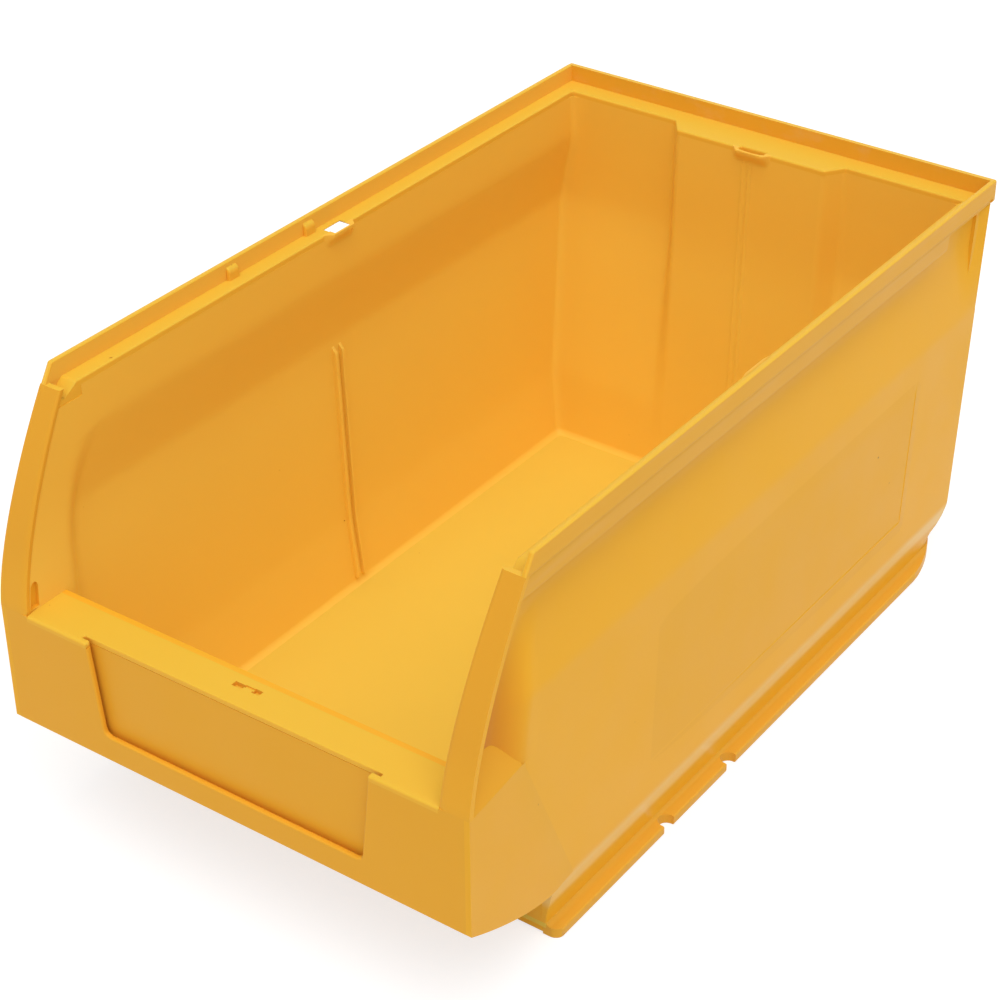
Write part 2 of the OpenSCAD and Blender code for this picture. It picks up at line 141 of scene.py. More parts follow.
def spread(start: float, stop: float, step: float) -> list[float]:
    """Evenly spaced values from start to stop, about step apart, both ends included."""
    count = max(1, round(abs(stop - start) / step))
    return [mix(start, stop, i / count) for i in range(count + 1)]


def no_seam(_a: Vector, _b: Vector) -> bool:
    """Seam test of a piece whose edges are all free."""
    return False


def full_share(_a: Vector, _b: Vector) -> float:
    """Rounding share of a piece whose edges are all rounded alike."""
    return 1.0


@dataclass(frozen=True)
class Profile:
    """Straight lines between knots, eased round each knot as a mould's fold is.

    Args:
        knots: pairs of height and value, from low to high.
        ease: half the height over which a fold is rounded.
        samples: number of steps in which the rounding is averaged.
    """

    knots: tuple[Point2, ...]
    ease: float
    samples: int = 8

    def line(self, z: float) -> float:
        """Value on the straight lines, without easing.

        Args:
            z: height at which the value is wanted.

        Returns:
            The value, held level beyond the ends.
        """
        if z <= self.knots[0][0]:
            return self.knots[0][1]
        for (z0, v0), (z1, v1) in zip(self.knots, self.knots[1:]):
            if z <= z1:
                return mix(v0, v1, (z - z0) / (z1 - z0))
        return self.knots[-1][1]

    def at(self, z: float) -> float:
        """Eased value.

        Args:
            z: height at which the value is wanted.

        Returns:
            Mean of the straight lines over the easing length, shrunk at the ends.
        """
        reach = min(self.ease, z - self.knots[0][0], self.knots[-1][0] - z)
        if reach <= 0.0:
            return self.line(z)
        total = sum(self.line(z + reach * (2.0 * i / self.samples - 1.0))
                    for i in range(1, self.samples))
        ends = 0.5 * (self.line(z - reach) + self.line(z + reach))
        return (total + ends) / self.samples


def eased_path(points: Sequence[Point2], reach: Sequence[float], steps: int = 5) -> list[Point2]:
    """Rounds the corners of an open path.

    Args:
        points: corners of the path.
        reach: for each point, how far from it the rounding begins, or 0 to keep it.
        steps: number of segments in each rounding.

    Returns:
        The path's points, always the same number for the same pattern of reach.
    """
    out: list[Point2] = []
    last = len(points) - 1
    for i, (p, r) in enumerate(zip(points, reach)):
        if r <= 0.0 or i in (0, last):
            out.append(p)
            continue
        here = Vector(p)
        before = Vector(points[i - 1]) - here
        after = Vector(points[i + 1]) - here
        a = here + before.normalized() * min(r, before.length * ROUNDING_SHARE)
        b = here + after.normalized() * min(r, after.length * ROUNDING_SHARE)
        for k in range(steps + 1):
            t = k / steps
            q = a * (1 - t) ** 2 + here * (2 * t * (1 - t)) + b * t * t
            out.append((q.x, q.y))
    return out


# ---- finishes


def add_node(tree: Tree, kind: str, inputs: dict[Union[int, str], object],
             **settings: object) -> Node:
    """Adds a node to a tree.

    Args:
        tree: the tree.
        kind: type of the node.
        inputs: for each input, the socket that drives it or its value.
        settings: other settings of the node.

    Returns:
        The node.
    """
    node = tree.nodes.new(kind)
    for name, value in settings.items():
        setattr(node, name, value)
    for key, value in inputs.items():
        if isinstance(value, Socket):
            tree.links.new(value, node.inputs[key])
        else:
            node.inputs[key].default_value = value
    return node


def noise(tree: Tree, place: Socket, scale: float, detail: float) -> Socket:
    """Noise with about scale features per metre and detail octaves of finer noise."""
    return add_node(tree, "ShaderNodeTexNoise",
                    {"Vector": place, "Scale": scale, "Detail": detail}).outputs["Fac"]


def ramp(tree: Tree, value: Socket, window: Point2, span: Point2 = (0.0, 1.0),
         eased: bool = False) -> Socket:
    """Brings a value from its window to a span and holds it at the ends.

    Args:
        tree: the tree.
        value: socket with the value.
        window: values that give the start and the end of the span.
        span: what comes out between them.
        eased: whether the change starts and ends softly.

    Returns:
        The socket with the result.
    """
    node = add_node(tree, "ShaderNodeMapRange", {
        "Value": value, "From Min": window[0], "From Max": window[1],
        "To Min": span[0], "To Max": span[1]},
        interpolation_type="SMOOTHSTEP" if eased else "LINEAR")
    return node.outputs["Result"]


def over(tree: Tree, share: Socket, under: Union[Socket, Sequence[float]],
         colour: Sequence[float]) -> Socket:
    """Lays a fixed colour over another one.

    Args:
        tree: the tree.
        share: socket that says how much of the fixed colour shows.
        under: colour below it, fixed or as a socket.
        colour: the fixed colour.

    Returns:
        The socket with both colours.
    """
    below = under if isinstance(under, Socket) else (*under, 1.0)
    return add_node(tree, "ShaderNodeMix", {0: share, 6: below, 7: (*colour, 1.0)},
                    data_type="RGBA").outputs[2]


@dataclass(frozen=True)
class Polypropylene:
    """Moulded polypropylene: soft sheen, faint flow mottling, fine spark grain and rubbed spots.

    The rubbed spots are partly painted glints; the band and the steep colour are painted light.

    Args:
        name: name of the material.
        colour: base colour, linear.
        roughness: middle roughness of the surface.
        mottle: how far the colour wanders over a hand's width.
        grain: height of the fine grain, in metres.
        rub_and_glint: share of the surface with pale streaks along the bin: rubbing and painted
            glints.
        painted_share: how much of the band's colour shows in it; the band is painted light and
            shade.
        band: places between which the band comes in and goes out, in metres.
        band_axis: axis along which those places are measured.
        band_colour: colour of the band; the default is a pale painted highlight along the heel.
        steep: colour of upright faces where it differs from the level ones, painted light from
            above.
        fleck: colour of the tiny dark flecks.
        thrown: colour that it throws on the walls facing it.
    """

    name: str
    colour: Colour
    roughness: float = 0.36
    mottle: float = 0.025
    grain: float = 0.00003
    rub_and_glint: float = 0.0
    painted_share: float = 0.0
    # The default band is a painted highlight: the floor's pale reflection along the heel.
    band: tuple[float, float, float, float] = (0.0135, 0.0195, 0.0240, 0.0295)
    band_axis: Axis = Axis.Z
    band_colour: Colour = (1.0, 0.655, 0.22)
    steep: Optional[Colour] = None
    fleck: Colour = (0.52, 0.20, 0.02)
    thrown: Colour = (0.84, 0.44, 0.07)

    def material(self) -> bpy.types.Material:
        """Node material of this finish, made once.

        Returns:
            The material, from earlier if it was made already.
        """
        found = bpy.data.materials.get(self.name)
        if found is not None:
            return found
        mat = bpy.data.materials.new(self.name)
        mat.use_nodes = True
        mat.diffuse_color = (*self.colour, 1.0)
        tree = mat.node_tree
        tree.nodes.clear()
        place = add_node(tree, "ShaderNodeTexCoord", {}).outputs["Object"]
        shader = add_node(tree, "ShaderNodeBsdfPrincipled", {
            "Base Color": self._colour(tree, place), "Roughness": self._gloss(tree, place),
            "Normal": self._relief(tree, place), "IOR": 1.49, "Specular IOR Level": 0.10,
            "Subsurface Weight": 0.06, "Subsurface Radius": (0.9, 0.45, 0.08),
            "Subsurface Scale": 0.0025})
        add_node(tree, "ShaderNodeOutputMaterial", {"Surface": shader.outputs["BSDF"]})
        return mat

    def _colour(self, tree: Tree, place: Socket) -> Socket:
        """Colour with mottling, flecks, rubbed streaks with painted glints, and painted light in
        band and steep faces.

        Args:
            tree: node tree of the material.
            place: socket with the object's coordinates.

        Returns:
            The socket with the colour.
        """
        deep = [c * (1.0 - self.mottle) for c in self.colour]
        pale = [min(1.0, c * (1.0 + self.mottle * 0.6)) for c in self.colour]
        colour = over(tree, noise(tree, place, scale=11.0, detail=3.0), deep, pale)
        flecks = ramp(tree, noise(tree, place, scale=240.0, detail=1.0), window=(0.83, 0.86))
        colour = over(tree, flecks, colour, self.fleck)
        # Pale streaks along the bin: partly rubbing, partly painted glints.
        if self.rub_and_glint > 0.0:
            stretch = add_node(tree, "ShaderNodeMapping",
                               {"Vector": place, "Scale": (90.0, 9.0, 150.0)})
            streaks = noise(tree, stretch.outputs["Vector"], scale=1.0, detail=4.0)
            share = ramp(tree, streaks, window=(0.52, 0.72), span=(0.0, self.rub_and_glint))
            grey, amount = 0.92, 0.30
            colour = over(tree, share, colour, [mix(c, grey, amount) for c in self.colour])
        # Band of painted light and shade along one axis.
        if self.painted_share > 0.0:
            colour = self._banded(tree, place, colour)
        # Painted light: upright faces take another colour than the level ones lit from above.
        if self.steep is not None:
            split = add_node(tree, "ShaderNodeSeparateXYZ", {
                0: add_node(tree, "ShaderNodeNewGeometry", {}).outputs["Normal"]})
            share = ramp(tree, split.outputs["Z"], window=(0.80, 0.15), eased=True)
            colour = over(tree, share, colour, self.steep)
        path = add_node(tree, "ShaderNodeLightPath", {})
        return over(tree, path.outputs["Is Diffuse Ray"], colour, self.thrown)

    def _banded(self, tree: Tree, place: Socket, under: Socket) -> Socket:
        """Band of painted light and shade in another colour, with soft borders.

        Args:
            tree: node tree of the material.
            place: socket with the object's coordinates.
            under: socket with the colour below the band.

        Returns:
            The socket with the band on it.
        """
        split = add_node(tree, "ShaderNodeSeparateXYZ", {0: place})
        along = split.outputs[self.band_axis.name]
        rise, full, wane, end = self.band
        both = add_node(tree, "ShaderNodeMath", {
            0: ramp(tree, along, (rise, full), eased=True),
            1: ramp(tree, along, (end, wane), (0.0, self.painted_share), eased=True)},
            operation="MULTIPLY")
        return over(tree, both.outputs[0], under, self.band_colour)

    def _gloss(self, tree: Tree, place: Socket) -> Socket:
        """Roughness that drifts a little over the surface."""
        return ramp(tree, noise(tree, place, scale=34.0, detail=4.0), window=(0.3, 0.7),
                    span=(self.roughness - 0.05, self.roughness + 0.06))

    def _relief(self, tree: Tree, place: Socket) -> Socket:
        """Fine spark-eroded grain with a slow waviness under it.

        Args:
            tree: node tree of the material.
            place: socket with the object's coordinates.

        Returns:
            The socket with the normal.
        """
        swell = add_node(tree, "ShaderNodeBump", {
            "Height": noise(tree, place, scale=16.0, detail=1.0), "Strength": 0.35,
            "Distance": 0.0006})
        return add_node(tree, "ShaderNodeBump", {
            "Height": noise(tree, place, scale=1500.0, detail=2.0), "Strength": 0.5,
            "Distance": self.grain, "Normal": swell.outputs["Normal"]}).outputs["Normal"]


class Finish(Enum):
    """Finishes of the moulding's regions: lit and shaded copies of one polypropylene, painted
    light and shade.
    """

    # Each region's colour below paints in the light and shade it gets; the moulding itself is one
    # colour.
    SATIN = Polypropylene("satin_polypropylene", (0.92, 0.452, 0.028))
    # Shell: its band low on the wall is the painted highlight along the heel.
    SHELL = Polypropylene("shell_polypropylene", (0.94, 0.470, 0.030), painted_share=0.8)
    # Painted shade: darker tone of the label panel, card pocket and corner webs.
    FRONT = Polypropylene("front_polypropylene", (0.875, 0.420, 0.032))
    # Painted shade: the flange darkens upwards from the front tone at the sill.
    FLANGE = Polypropylene("flange_polypropylene", (0.80, 0.372, 0.030), painted_share=1.0,
                           band=(-0.01, 0.0, 0.1045, 0.140),
                           band_colour=(0.875, 0.420, 0.032))
    FOOT = Polypropylene("foot_polypropylene", (0.85, 0.435, 0.046))
    # Painted light: paler, yellower level faces of sill, ledges and nubs; upright ones more
    # orange.
    INNER = Polypropylene("inner_polypropylene", (0.865, 0.515, 0.050), roughness=0.42,
                          steep=(0.91, 0.480, 0.046))
    # Painted shade: the hollow behind the flange, darkest at the front, turns to the shell tone
    # behind.
    HOLLOW = Polypropylene("hollow_polypropylene", (0.72, 0.260, 0.024), painted_share=1.0,
                           band=(-0.180, -0.155, 1.0, 2.0), band_axis=Axis.Y,
                           band_colour=(0.94, 0.470, 0.030))
    # Painted light: pale cavity walls; the band deepens them above 110 mm as painted shade.
    CAVITY = Polypropylene("cavity_polypropylene", (0.985, 0.602, 0.088), roughness=0.42,
                           painted_share=1.0, band=(0.110, 0.160, 1.0, 2.0),
                           band_colour=(0.950, 0.530, 0.068), thrown=(0.93, 0.64, 0.17))
    # Painted light: pale floor of the cavity.
    FLOOR = Polypropylene("floor_polypropylene", (0.845, 0.575, 0.080), roughness=0.48,
                          grain=0.00006, thrown=(0.93, 0.64, 0.17))
    # Rubbed streaks: partly real rubbing, partly painted glints.
    RUBBED_AND_GLINTING = Polypropylene("rubbed_glinting_polypropylene", (0.88, 0.440, 0.034), roughness=0.36,
                           mottle=0.04, rub_and_glint=0.15)
    # Painted highlight: pale rounded edges and rim tops.
    EDGE = Polypropylene("edge_highlight_polypropylene", (0.885, 0.515, 0.052), roughness=0.33,
                         mottle=0.04, steep=(0.89, 0.455, 0.044))


# ---- one piece


class Piece:
    """One region of the moulding while its mesh is being made.

    A piece on the left is drawn as a right one and turned over when it is made.
    """

    def __init__(self, name: str, nodes: Sequence[str], finish: Finish,
                 side: Side = Side.RIGHT) -> None:
        """Starts an empty mesh for the piece.

        Args:
            name: name of the Blender object.
            nodes: CAD nodes that it stands for.
            finish: finish of its surface.
            side: side on which it lies.
        """
        self.name = name
        self.nodes = tuple(nodes)
        self.finish = finish
        self.side = side
        self.inside: Optional[Finish] = None
        self.before: Optional[Finish] = None
        self.patch: Optional[Finish] = None
        self.edge: Optional[Finish] = None
        self.crown: Optional[float] = None
        self.mesh = bmesh.new()
        self.cutters: list[bpy.types.Object] = []

    def _face(self, corners: Sequence[bmesh.types.BMVert], slot: int = 0) -> None:
        """Adds a face unless its corners coincide or it is there already.

        Args:
            corners: its corners in order.
            slot: index of its material.
        """
        ring: list[bmesh.types.BMVert] = []
        for v in corners:
            if v not in ring:
                ring.append(v)
        if len(ring) >= 3 and self.mesh.faces.get(ring) is None:
            self.mesh.faces.new(ring).material_index = slot

    def skin_pair(self, inner: Grid, outer: Grid, inside: Optional[Finish] = None,
                  first: int = 0, before: Optional[Finish] = None,
                  patch: Optional[Finish] = None,
                  patched: Optional[Callable[[Point3], bool]] = None) -> "Piece":
        """Closed shell between two grids of points, with a wall along every free border.

        Args:
            inner: one surface, with None where it has no point.
            outer: the other surface, with the same pattern.
            inside: finish of the inner surface, where it differs.
            first: column from which the inner surface has that finish.
            before: finish of the inner surface ahead of that column, where it differs.
            patch: finish of a part of the outer surface.
            patched: tells from a cell's first point whether it has that finish.

        Returns:
            The piece itself.
        """
        self.inside, self.before, self.patch = inside, before, patch
        patch_slot = sum(1 for f in (self.finish, inside, before) if f is not None)
        sheets = []
        for grid in (inner, outer):
            sheets.append([[None if p is None else self.mesh.verts.new([c * MM for c in p])
                            for p in row] for row in grid])
        used: dict[tuple[tuple[int, int], tuple[int, int]], int] = {}
        for r in range(len(inner) - 1):
            for c in range(len(inner[0]) - 1):
                cell = [(r, c), (r, c + 1), (r + 1, c + 1), (r + 1, c)]
                if any(inner[i][j] is None for i, j in cell):
                    continue
                for sheet in sheets:
                    slot = 0
                    if inside is not None and sheet is sheets[0]:
                        slot = 1 if c >= first else (2 if before is not None else 0)
                    elif patched is not None and sheet is sheets[1] and patched(outer[r][c]):
                        slot = patch_slot
                    self._face([sheet[i][j] for i, j in cell], slot)
                for a, b in zip(cell, cell[1:] + cell[:1]):
                    key = (min(a, b), max(a, b))
                    used[key] = used.get(key, 0) + 1
        for (a, b), times in used.items():
            if times == 1:
                one, two = sheets
                self._face([one[a[0]][a[1]], one[b[0]][b[1]], two[b[0]][b[1]], two[a[0]][a[1]]])
        return self

    def sweep(self, axis: Axis, start: float, stop: float, outline: Sequence[Point2],
              step: float = 0.0) -> "Piece":
        """Solid swept along an axis.

        Args:
            axis: direction of the sweep.
            start: where it begins.
            stop: where it ends.
            outline: corners of its section, as Axis.place takes them.
            step: length of its segments, or 0 for one.

        Returns:
            The piece itself.
        """
        stations = [start, stop] if step <= 0.0 else spread(start, stop, step)
        self.rings([[self.mesh.verts.new([c * MM for c in axis.place(a, b, s)])
                     for a, b in outline] for s in stations])
        return self

    def rings(self, rings: Sequence[Sequence[bmesh.types.BMVert]]) -> None:
        """Closes a body round rings of vertices.

        Args:
            rings: rings with the same number of vertices, in order.
        """
        self._face(rings[0])
        self._face(rings[-1])
        for one, two in zip(rings, rings[1:]):
            for i in range(len(one)):
                j = (i + 1) % len(one)
                self._face([one[i], one[j], two[j], two[i]])

    def highlight_edges(self, crown: Optional[float] = None) -> "Piece":
        """Gives the rounded edges the painted highlight, pale where light catches them.

        Args:
            crown: height above which level faces get the painted highlight as well.

        Returns:
            The piece itself.
        """
        self.edge = Finish.EDGE
        self.crown = crown
        return self

    def cut(self, axis: Axis, start: float, stop: float, outline: Sequence[Point2]) -> "Piece":
        """Opening that is taken out of the piece when it is made.

        Args:
            axis: direction of the opening.
            start: where it begins.
            stop: where it ends.
            outline: corners of its section.

        Returns:
            The piece itself.
        """
        tool = Piece(self.name + "_cut", (), self.finish)
        tool.sweep(axis, start, stop, outline)
        return self._keep_tool(tool)

    def loft_cut(self, rings: Sequence[Sequence[Point3]]) -> "Piece":
        """Opening between rings of points, which is taken out when the piece is made.

        Args:
            rings: rings with the same number of points, one above another.

        Returns:
            The piece itself.
        """
        tool = Piece(self.name + "_cut", (), self.finish)
        tool.rings([[tool.mesh.verts.new([c * MM for c in p]) for p in ring] for ring in rings])
        return self._keep_tool(tool)

    def _keep_tool(self, tool: "Piece") -> "Piece":
        """Turns a tool's mesh into an object for the cut.

        Args:
            tool: piece that stands for the opening.

        Returns:
            The piece itself.
        """
        bmesh.ops.recalc_face_normals(tool.mesh, faces=tool.mesh.faces[:])
        data = bpy.data.meshes.new(tool.name)
        tool.mesh.to_mesh(data)
        tool.mesh.free()
        self.cutters.append(bpy.data.objects.new(tool.name, data))
        return self

    def box_cut(self, x: Point2, y: Point2, z: Point2) -> "Piece":
        """Rectangular opening between two corners, given per axis as low and high."""
        return self.cut(Axis.Z, z[0], z[1], [(x[0], y[0]), (x[1], y[0]), (x[1], y[1]),
                                             (x[0], y[1])])

    def _take_cuts(self, obj: bpy.types.Object) -> None:
        """Takes the openings out of the object's mesh.

        Args:
            obj: the object, already linked to the scene.
        """
        for tool in self.cutters:
            bpy.context.scene.collection.objects.link(tool)
            step = obj.modifiers.new("opening", "BOOLEAN")
            step.operation = "DIFFERENCE"
            step.solver = "EXACT"
            step.object = tool
        bpy.context.view_layer.update()
        graph = bpy.context.evaluated_depsgraph_get()
        fresh = bpy.data.meshes.new_from_object(obj.evaluated_get(graph))
        obj.modifiers.clear()
        old = obj.data
        obj.data = fresh
        bpy.data.meshes.remove(old)
        for tool in self.cutters:
            data = tool.data
            bpy.data.objects.remove(tool)
            bpy.data.meshes.remove(data)

    def _mark(self, obj: bpy.types.Object, rounded: bool, seam: SeamTest, limit: float,
              share: ShareTest) -> None:
        """Marks the edges that are rounded, turns a left piece over and smooths the faces.

        Args:
            obj: object with the finished mesh.
            rounded: whether free edges get a rounding at all.
            seam: tells the edges along which the moulding goes on in another piece.
            limit: angle in degrees from which an edge is rounded.
            share: share of the full rounding that an edge gets.
        """
        bm = bmesh.new()
        bm.from_mesh(obj.data)
        bmesh.ops.remove_doubles(bm, verts=bm.verts[:], dist=WELD)
        bmesh.ops.recalc_face_normals(bm, faces=bm.faces[:])
        layer = bm.edges.layers.float.new("bevel_weight_edge")
        sharp = math.radians(limit)
        for edge in bm.edges:
            if len(edge.link_faces) != 2 or edge.calc_face_angle(0.0) < sharp:
                continue
            a, b = (v.co / MM for v in edge.verts)
            if rounded and not seam(a, b):
                edge[layer] = share(a, b)
            else:
                edge.smooth = False
        if self.side is Side.LEFT:
            bmesh.ops.transform(bm, matrix=Matrix.Scale(-1.0, 4, (1.0, 0.0, 0.0)),
                                verts=bm.verts[:])
            bmesh.ops.reverse_faces(bm, faces=bm.faces[:])
        for face in bm.faces:
            face.smooth = True
            # Level faces above the crown take the painted highlight.
            if (self.crown is not None and face.normal.z > LEVEL
                    and face.calc_center_median().z > self.crown * MM):
                face.material_index = len(obj.data.materials) - 1
        bm.to_mesh(obj.data)
        bm.free()

    def make(self, rounding: float = 0.6, seam: SeamTest = no_seam, limit: float = 30.0,
             steps: int = 3, share: ShareTest = full_share) -> bpy.types.Object:
        """Turns the mesh into a piece of the scene.

        Args:
            rounding: width of the rounding on free edges.
            seam: tells the edges that stay as they are.
            limit: angle in degrees from which an edge is rounded.
            steps: segments of the rounding.
            share: share of the full rounding that an edge gets.

        Returns:
            The piece's object, riding on the body and standing for its nodes.
        """
        bmesh.ops.remove_doubles(self.mesh, verts=self.mesh.verts[:], dist=WELD)
        bmesh.ops.recalc_face_normals(self.mesh, faces=self.mesh.faces[:])
        data = bpy.data.meshes.new(self.name)
        self.mesh.to_mesh(data)
        self.mesh.free()
        wanted = (self.finish, self.inside, self.before, self.patch, self.edge)
        finishes = [f for f in wanted if f is not None]
        for finish in finishes:
            data.materials.append(finish.value.material())
        obj = bpy.data.objects.new(self.name, data)
        bpy.context.scene.collection.objects.link(obj)
        if self.cutters:
            self._take_cuts(obj)
        self._mark(obj, rounding > 0.0, seam, limit, share)
        if rounding > 0.0:
            bevel = obj.modifiers.new("rounded_edges", "BEVEL")
            bevel.limit_method = "WEIGHT"
            bevel.width = rounding * MM
            bevel.segments = steps
            bevel.use_clamp_overlap = True
            bevel.harden_normals = False
            # The rounding takes the painted edge highlight.
            if self.edge is not None:
                bevel.material = len(finishes) - 1
        even = obj.modifiers.new("even_shading", "WEIGHTED_NORMAL")
        even.keep_sharp = True
        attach(obj, "root")
        if self.nodes:
            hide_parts(*self.nodes)
        log.info("%s: %d faces, stands for %s", self.name, len(obj.data.polygons),
                 ", ".join(self.nodes) or "nothing")
        return obj


# ---- sizes


def low(node: str) -> Vector:
    """Lowest corner of a CAD node, in millimetres."""
    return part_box(node)[0] / MM


def high(node: str) -> Vector:
    """Highest corner of a CAD node, in millimetres."""
    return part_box(node)[1] / MM


@dataclass
class Mould:
    """Sizes and surfaces that the regions of the moulding share, in millimetres.

    What a CAD node's box tells is measured from it. The others are the mould's own forms.
    """

    fold_z: float = 42.0
    fold_inset: float = 8.7
    heel_inset: float = 5.8
    web_z: float = 11.5
    web_inset: float = 10.0
    floor_inset: float = 13.0
    crest_inset: float = 2.5
    crease_share: float = 0.312
    strip_share: float = 0.677
    shoulder: float = 13.5
    shoulder_taper: float = 3.5
    bulge_front: float = 26.0
    bulge_round: float = 23.0
    blend: float = 13.0
    inner_ease: float = 3.5
    outer_ease: float = 2.2
    lean: float = 39.5
    lean_power: float = 1.5
    cheek_curl: float = 62.0
    cheek_power: float = 1.43
    cheek_short: float = 1.0
    cheek_over: float = 1.15
    web_share: float = 0.08
    web_rise: float = 1.5
    landing_l: float = 46.0
    landing_drop: float = 4.5
    toe: float = 2.0
    rear_top: float = 13.2
    mid_inset: float = 22.3
    rear_set: float = 0.5
    rear_fold: float = 1.5
    rear_crest: float = 0.8
    rear_ease: float = 4.0
    half_low: float = 39.5
    step_w: float = 6.5
    flare_walls: float = 5.0
    floor_fillet: float = 2.6
    corner_fillet: float = 7.0
    run_out: float = 6.0
    post_foot_r: float = 14.0
    post_foot_z: float = 17.0
    row_offsets: tuple[float, ...] = (-3.2, -1.6, 0.0, 1.6, 3.2)
    row_step: float = 4.5
    row_least: float = 0.25
    row_last: float = 2.5
    hx: float = (CAD_BOX[1] / MM).x
    hy: float = (CAD_BOX[1] / MM).y
    height: float = (CAD_BOX[1] / MM).z
    floor_z: float = high("floor_panel").z
    pan_z: float = low("floor_panel").z
    pan_x: float = high("floor_panel").x
    foot_y: float = low("floor_panel").y
    pan_rear: float = high("floor_panel").y
    ledge_z: float = high("rear_ledge").z
    under_z: float = low("rear_ledge").z
    ledge_in: float = low("right_ledge").x
    rim_in: float = high("right_ledge").x
    sill_z: float = high("front_sill").z
    sill_y: float = high("front_sill").y
    skirt_z: float = low("label_panel").z
    cheek_y: float = high("right_front_cheek").y
    heel_z: float = low("right_front_cheek").z
    fin_y: float = low("rear_rim").y
    apron_z: float = low("right_apron").z
    wall: float = field(init=False)
    rear_low: float = field(init=False)
    rear_in: float = field(init=False)
    rear_mid: float = field(init=False)
    join_y: float = field(init=False)
    flare_y: float = field(init=False)
    half_top: float = field(init=False)
    rise: float = field(init=False)
    crease_z: float = field(init=False)
    strip_z: float = field(init=False)
    landing_y: float = field(init=False)
    inner_side: Profile = field(init=False)
    outer_side: Profile = field(init=False)
    rear_side: Profile = field(init=False)

    def __post_init__(self) -> None:
        """Works out what follows from the sizes, and the walls' sections."""
        self.wall = self.hx - self.rim_in
        self.rear_low = low("rear_wall").y + self.rear_set
        self.rear_in = self.hy - self.rear_top
        self.rear_mid = self.hy - self.mid_inset
        self.join_y = self.rear_in - self.wall
        self.flare_y = self.fin_y - self.flare_walls * self.wall
        self.half_top = self.half_low + self.step_w
        self.rise = self.height - self.sill_z
        self.crease_z = self.sill_z + self.rise * self.crease_share
        self.strip_z = self.sill_z + self.rise * self.strip_share
        self.landing_y = self.landing_l - self.hy
        strip_in, strip_out = self.frame_in(self.strip_z), self.frame_out(self.strip_z)
        self.inner_side = Profile((
            (self.floor_z, self.hx - self.floor_inset), (self.fold_z, self.hx - self.fold_inset),
            (self.crease_z, self.hx - self.crest_inset - self.wall), (self.strip_z, strip_in),
            (self.under_z, self.frame_in(self.under_z))), self.inner_ease)
        self.outer_side = Profile((
            (self.floor_z, self.pan_x), (self.web_z, self.hx - self.web_inset),
            (self.heel_z, self.hx - self.heel_inset), (self.crease_z, self.hx - self.crest_inset),
            (self.strip_z, strip_out), (self.under_z, self.frame_out(self.under_z))),
            self.outer_ease)
        self.rear_side = Profile((
            (self.floor_z, self.rear_low), (self.fold_z, self.rear_low + self.rear_fold),
            (self.crease_z, self.rear_in - self.rear_crest), (self.strip_z, self.rear_in),
            (self.under_z, self.rear_in)), self.rear_ease)

    def frame_in(self, z: float) -> float:
        """Inside of the flat frame round the bulge."""
        return self.hx - self.shoulder + self.shoulder_taper * max(
            0.0, (z - self.sill_z) / (self.ledge_z - self.sill_z))

    def frame_out(self, z: float) -> float:
        """Outside of the flat frame round the bulge."""
        return self.frame_in(z) + self.wall

    def frame_edge(self, z: float) -> float:
        """Edge round which the front flange turns into the frame."""
        return self.frame_in(z) - self.wall / 6.0

    def front_y(self, z: float) -> float:
        """Front edge of the opening, which leans back up to the rim."""
        return -self.hy + self.lean * max(0.0, (z - self.sill_z) / self.rise) ** self.lean_power

    def inner_y(self, z: float) -> float:
        """Front face of the inner front wall.

        Args:
            z: the height.

        Returns:
            Its Y, nearly upright up to the heel and then leaning forward to the sill.
        """
        if z < self.heel_z:
            return self.foot_y - self.toe * (z - self.pan_z) / (self.heel_z - self.pan_z)
        return mix(self.foot_y - self.toe, self.sill_y,
                   (z - self.heel_z) / (self.sill_z - self.heel_z))

    def bulge_in(self, z: float) -> float:
        """Inside of the bulge."""
        return self.inner_side.at(z)

    def bulge_out(self, z: float) -> float:
        """Outside of the bulge."""
        return self.outer_side.at(z)

    def bulge_y(self, z: float) -> float:
        """Front edge of the bulge, a quarter of an ellipse."""
        u = clamp((z - self.sill_z) / (self.strip_z - self.sill_z))
        return -self.hy + self.bulge_front + self.bulge_round * (1.0 - math.sqrt(1.0 - u * u))

    def wall_in(self, y: float, z: float) -> float:
        """Inside of a side wall."""
        return mix(self.frame_in(z), self.bulge_in(z), smooth((y - self.bulge_y(z)) / self.blend))

    def wall_out(self, y: float, z: float) -> float:
        """Outside of a side wall."""
        return mix(self.frame_out(z), self.bulge_out(z),
                   smooth((y - self.bulge_y(z)) / self.blend))

    def post_x(self, z: float) -> float:
        """Outside of the rear corner post, which flares back to full width.

        Args:
            z: the height.

        Returns:
            Its X.
        """
        if z < self.crease_z:
            return self.bulge_out(z)
        return mix(self.bulge_out(self.crease_z), self.hx - self.wall / 3.0,
                   (z - self.crease_z) / (self.under_z - self.crease_z))

    def rear_out(self, y: float, z: float) -> float:
        """Outside of a side wall, with the flare of the rear post.

        Args:
            y: place along the wall.
            z: the height.

        Returns:
            Its X.
        """
        if y < self.flare_y:
            return self.wall_out(y, z)
        return mix(self.wall_out(y, z), self.post_x(z),
                   (y - self.flare_y) / (self.fin_y - self.flare_y))

    def foot_corner(self, x: float, y: float, z: float) -> Point2:
        """Outer point of the rear post, drawn in where its foot is rounded.

        Args:
            x: its X before rounding.
            y: its Y before rounding.
            z: its height.

        Returns:
            X and Y on or within the rounded corner.
        """
        rounded = clamp((self.post_foot_z - z) / (self.post_foot_z - self.floor_z))
        radius = self.post_foot_r * rounded
        cx, cy = self.post_x(z) - radius, self.fin_y - radius
        away = math.hypot(max(0.0, x - cx), max(0.0, y - cy))
        if away <= radius or x <= cx or y <= cy:
            return (x, y)
        return (cx + (x - cx) * radius / away, cy + (y - cy) * radius / away)

